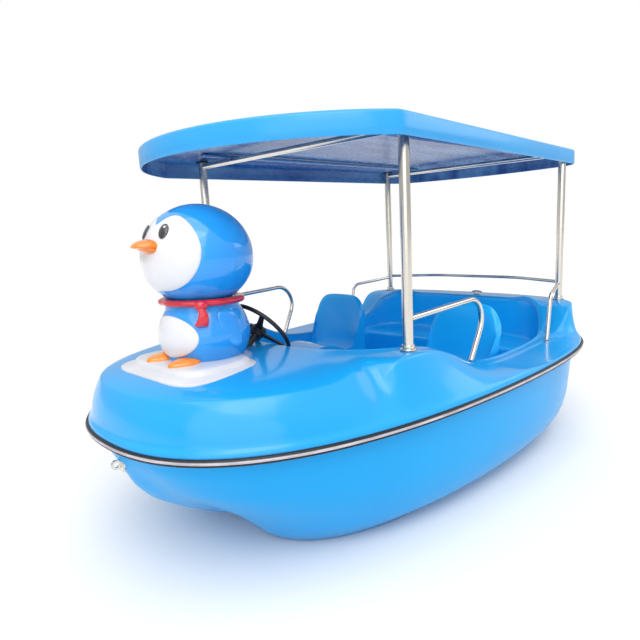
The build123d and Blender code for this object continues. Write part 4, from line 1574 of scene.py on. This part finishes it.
    def build(self) -> None:
        """Make and paint the whole figurehead."""
        place_piece(self._plinth(), "boat", BASE_WHITE, ["figure_base"])
        place_piece(self._body(), "boat", FIGURE_BLUE, ["figure_body"])
        place_piece(self._head(), "boat", FIGURE_BLUE, ["figure_head"])
        aim = math.radians(self.lift)
        face = self._plate("penguin_face", self.head_point, (0.0, aim - 0.05), self._face_reach)
        place_piece(face, "boat", FIGURE_WHITE)
        belly = self._plate("penguin_belly", self.body_point, (0.0, -0.16),
                            lambda turn: 0.80 + 0.04 * np.cos(turn) ** 2)
        place_piece(belly, "boat", FIGURE_WHITE)
        place_piece(self._beak(), "boat", FIGURE_ORANGE, ["figure_beak"])
        # The second piece holds the white eye glints, painted highlights.
        dark, light = self._eyes()
        place_piece(dark, "boat", FIGURE_DARK)
        place_piece(light, "boat", FIGURE_WHITE)
        wings = join("penguin_flippers", [self._flipper(1.0), self._flipper(-1.0)])
        place_piece(wings, "boat", FIGURE_BLUE, ["figure_flippers"])
        place_piece(self._scarf(), "boat", FIGURE_RED, ["figure_scarf"])
        place_piece(self._feet(), "boat", FIGURE_ORANGE, ["figure_feet"])


# ---- tubes and fittings -----------------------------------------------------------------------------------
@dataclass
class Fittings:
    """Finishes on the carried-over CAD pieces, and the flanges and screws at the tube ends."""

    screws: int = 4
    plate_radius: float = 0.033
    collar_radius: float = 0.0255
    screw_circle: float = 0.025
    front_foot: float = 0.7585
    rear_foot: float = 0.7330
    pad_radius: float = 0.052
    pad_depth: float = 0.034
    finishes: tuple[tuple[str, Finish], ...] = (
        ("stainless", STAINLESS), ("steel", STEEL), ("black_plastic", BLACK), ("grey_plastic", GREY),
        ("nylon", NYLON), ("foam", FOAM), ("rubber_black", RUBBER), ("fibreglass", AZURE),
        ("gelcoat_blue", AZURE), ("gelcoat_white", BASE_WHITE), ("strip_grey", STRIP),
        ("gelcoat_orange", FIGURE_ORANGE), ("gelcoat_red", FIGURE_RED))

    def dress_nodes(self) -> None:
        """Give every shown CAD node the finish of its material slot."""
        by_slot = dict(self.finishes)
        for row in FRAME["record"]["subparts"]:
            node = FRAME["nodes"].get(row["node"])
            if node is None or node.hide_render:
                continue
            by_slot[row["material_slot"]].dress(node)
            smooth(node, 30)
            LOG.info("%s keeps its shape and takes %s", node.name, by_slot[row["material_slot"]].name)

    def _flange(self, x: float, y: float, z: float) -> list[bpy.types.Object]:
        """Make a round foot plate with a collar, and domed screws round it.

        Args:
            x: Place of the post along the boat.
            y: Its place across.
            z: Height of the plate's middle.

        Returns:
            The plate, the collar and the screws.
        """
        plate = disc("foot_plate", (x, y, z), self.plate_radius, 0.006)
        round_edges(plate, 0.0018)
        collar = disc("foot_collar", (x, y, z + 0.010), self.collar_radius, 0.018)
        round_edges(collar, 0.003)
        parts = [plate, collar]
        for i in range(self.screws):
            turn = FULL_TURN * (i + 0.5) / self.screws
            place = Matrix.Translation((x + self.screw_circle * math.cos(turn),
                                        y + self.screw_circle * math.sin(turn), z + 0.003))
            parts.append(ball("foot_screw", (0.0042, 0.0042, 0.00231), place, 16))
        return parts

    def bearing_pads(self) -> None:
        """Bosses on the tub walls that carry the outer crank bearings."""
        parts = []
        for side, sign in SIDES.items():
            low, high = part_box(f"crank_bearing_{side}_outer")
            middle = (low + high) / 2
            wall = (high.y if sign > 0 else low.y) + sign * (self.pad_depth / 2 - 0.001)
            pad = disc("bearing_pad", (middle.x, wall, middle.z), self.pad_radius, self.pad_depth,
                       (math.pi / 2, 0, 0))
            round_edges(pad, 0.006, 4)
            parts.append(pad)
        made = join("bearing_bosses", parts)
        smooth(made, 40)
        place_piece(made, "boat", AZURE)

    def bow_plate(self) -> None:
        """Backing plate between the stem and the bow eye."""
        low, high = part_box("bow_eye")
        middle = (low + high) / 2
        plate = disc("bow_eye_plate", (low.x - 0.004, 0.0, middle.z), 0.024, 0.016, (0, math.pi / 2, 0), 48)
        round_edges(plate, 0.003)
        smooth(plate, 40)
        place_piece(plate, "boat", STAINLESS)

    def cleat(self) -> None:
        """Low horn cleat that stands on the stern coaming."""
        low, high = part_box("stern_cleat")
        middle = (low + high) / 2
        x, tip, bend = middle.x, 0.752, 0.757
        corners = [(x, low.y, tip), (x, low.y + 0.02, bend), (x, high.y - 0.02, bend), (x, high.y, tip)]
        parts = [tube("cleat_horn", bend_line(corners, 0.03), 0.0055)]
        for y in (middle.y - 0.012, middle.y + 0.012):
            parts.append(disc("cleat_leg", (x, y, 0.742), 0.0055, 0.028, sides=32))
        foot = box_piece("cleat_foot", (x, middle.y, 0.7355), (0.020, 0.046, 0.008))
        round_edges(foot, 0.0025)
        parts.append(foot)
        made = join("stern_cleat_casting", parts)
        smooth(made, 40)
        place_piece(made, "boat", STAINLESS, ["stern_cleat"])

    def post_feet(self) -> None:
        """Foot plates where the posts meet the deck."""
        parts = []
        for end, height in (("front", self.front_foot), ("rear", self.rear_foot)):
            for side in SIDES:
                low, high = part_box(f"post_{end}_{side}")
                middle = (low + high) / 2
                parts += self._flange(middle.x, middle.y, height)
        made = join("post_foot_plates", parts)
        smooth(made, 40)
        place_piece(made, "boat", STAINLESS, ["post_sockets"])


# ---- studio -----------------------------------------------------------------------------------------------
@dataclass
class Studio:
    """Pale floor, soft lights and the camera."""

    eye: Corner = (2.1790, 1.7858, 1.2559)
    azimuth: float = 223.95
    elevation: float = -10.28
    roll: float = -3.01
    lens: float = 29.50
    focus: Corner = (0.2, 0.0, 0.6)
    # name, place and strength of each broad light, then name, place, size and power of each lamp
    suns: tuple[tuple[str, Corner, float], ...] = (("sky_light", (1.6, 0.9, 4.5), 1.2),
                                                   ("front_fill", (2.4, 1.7, 1.3), 0.95))
    lamps: tuple[tuple[str, Corner, float, float], ...] = (("key", (2.6, 2.4, 3.8), 2.4, 35.0),
                                                           ("rim", (-3.6, 2.8, 3.4), 2.4, 25.0))

    def floor(self) -> None:
        """A wide pale floor just under the pontoons."""
        plane = start(bpy.ops.mesh.primitive_plane_add, "studio_floor", size=60.0, location=(0, 0, -0.002))
        settle(plane)
        FLOOR.dress(plane)

    def world(self) -> None:
        """A sky that is darker near the horizon, and plain white where the camera sees it."""
        world = bpy.data.worlds.new("studio_world")
        bpy.context.scene.world = world
        world.use_nodes = True
        tree = world.node_tree
        sky = tree.nodes["Background"]
        set_inputs(sky, {"Strength": 0.95})
        place = tree.nodes.new("ShaderNodeTexCoord")
        split = tree.nodes.new("ShaderNodeSeparateXYZ")
        ramp = tree.nodes.new("ShaderNodeValToRGB")
        for stop, rise, bright in zip(ramp.color_ramp.elements, (0.08, 0.75), (0.58, 1.0)):
            stop.position = rise
            stop.color = (bright, bright, bright, 1.0)
        plain = tree.nodes.new("ShaderNodeBackground")
        set_inputs(plain, {"Strength": 1.0, "Color": (1.0, 1.0, 1.0, 1.0)})
        seen = tree.nodes.new("ShaderNodeLightPath")
        mix = tree.nodes.new("ShaderNodeMixShader")
        tree.links.new(place.outputs["Generated"], split.inputs["Vector"])
        tree.links.new(split.outputs["Z"], ramp.inputs["Fac"])
        tree.links.new(ramp.outputs["Color"], sky.inputs["Color"])
        tree.links.new(seen.outputs["Is Camera Ray"], mix.inputs["Fac"])
        tree.links.new(sky.outputs["Background"], mix.inputs[1])
        tree.links.new(plain.outputs["Background"], mix.inputs[2])
        tree.links.new(mix.outputs["Shader"], tree.nodes["World Output"].inputs["Surface"])

    def lights(self) -> None:
        """Large soft lights."""
        for name, place, power in self.suns:
            sun = bpy.data.lights.new(name, "SUN")
            sun.energy = power
            sun.angle = math.radians(60)
            self._aim(sun, place)
        for name, place, size, power in self.lamps:
            lamp = bpy.data.lights.new(name, "AREA")
            lamp.size = size
            lamp.energy = power
            self._aim(lamp, place)

    def _aim(self, lamp: bpy.types.Light, place: Corner) -> None:
        """Hang one light and turn it to the boat.

        Args:
            lamp: The light.
            place: Where it hangs.
        """
        holder = bpy.data.objects.new(lamp.name, lamp)
        holder.location = place
        aim = Vector(self.focus) - Vector(place)
        holder.rotation_mode = "QUATERNION"
        holder.rotation_quaternion = aim.to_track_quat("-Z", "Y")
        bpy.context.scene.collection.objects.link(holder)

    def camera(self) -> None:
        """The camera, from its turn, tilt and roll."""
        az, el, roll = (math.radians(v) for v in (self.azimuth, self.elevation, self.roll))
        ahead = Vector((math.cos(el) * math.cos(az), math.cos(el) * math.sin(az), math.sin(el)))
        right = ahead.cross(Vector((0, 0, 1))).normalized()
        up = right.cross(ahead)
        cam_x = math.cos(roll) * right + math.sin(roll) * up
        cam_y = -math.sin(roll) * right + math.cos(roll) * up
        data = bpy.data.cameras.new("camera")
        data.sensor_width = 36.0
        data.lens = self.lens
        data.clip_start, data.clip_end = 0.05, 100.0
        holder = bpy.data.objects.new("camera", data)
        turn = Matrix((cam_x, cam_y, -ahead)).transposed().to_4x4()
        holder.matrix_world = Matrix.Translation(self.eye) @ turn
        bpy.context.scene.collection.objects.link(holder)
        bpy.context.scene.camera = holder

    def build(self) -> None:
        """Set up floor, lights, camera and a plain view transform."""
        bpy.context.scene.view_settings.view_transform = "Standard"
        self.floor()
        self.world()
        self.lights()
        self.camera()


def main() -> None:
    """Build every sub-assembly in order."""
    logging.basicConfig(level=logging.INFO, format="%(message)s")
    line = JointLine()
    Studio().build()
    place_piece(HullMoulding(line).build(), "boat", HULL_AZURE, ["hull_shell"])
    place_piece(DeckMoulding(line).build(), "boat", None, ["deck_shell"])
    RubRail(line).build()
    canopy = Canopy()
    canopy.build()
    canopy.ribs()
    for side in SIDES:
        FrontSeat().build(side)
    SteeringWheel().build()
    Penguin().build()
    fittings = Fittings()
    fittings.post_feet()
    fittings.bearing_pads()
    fittings.bow_plate()
    fittings.cleat()
    fittings.dress_nodes()


if __name__ == "__main__":
    main()
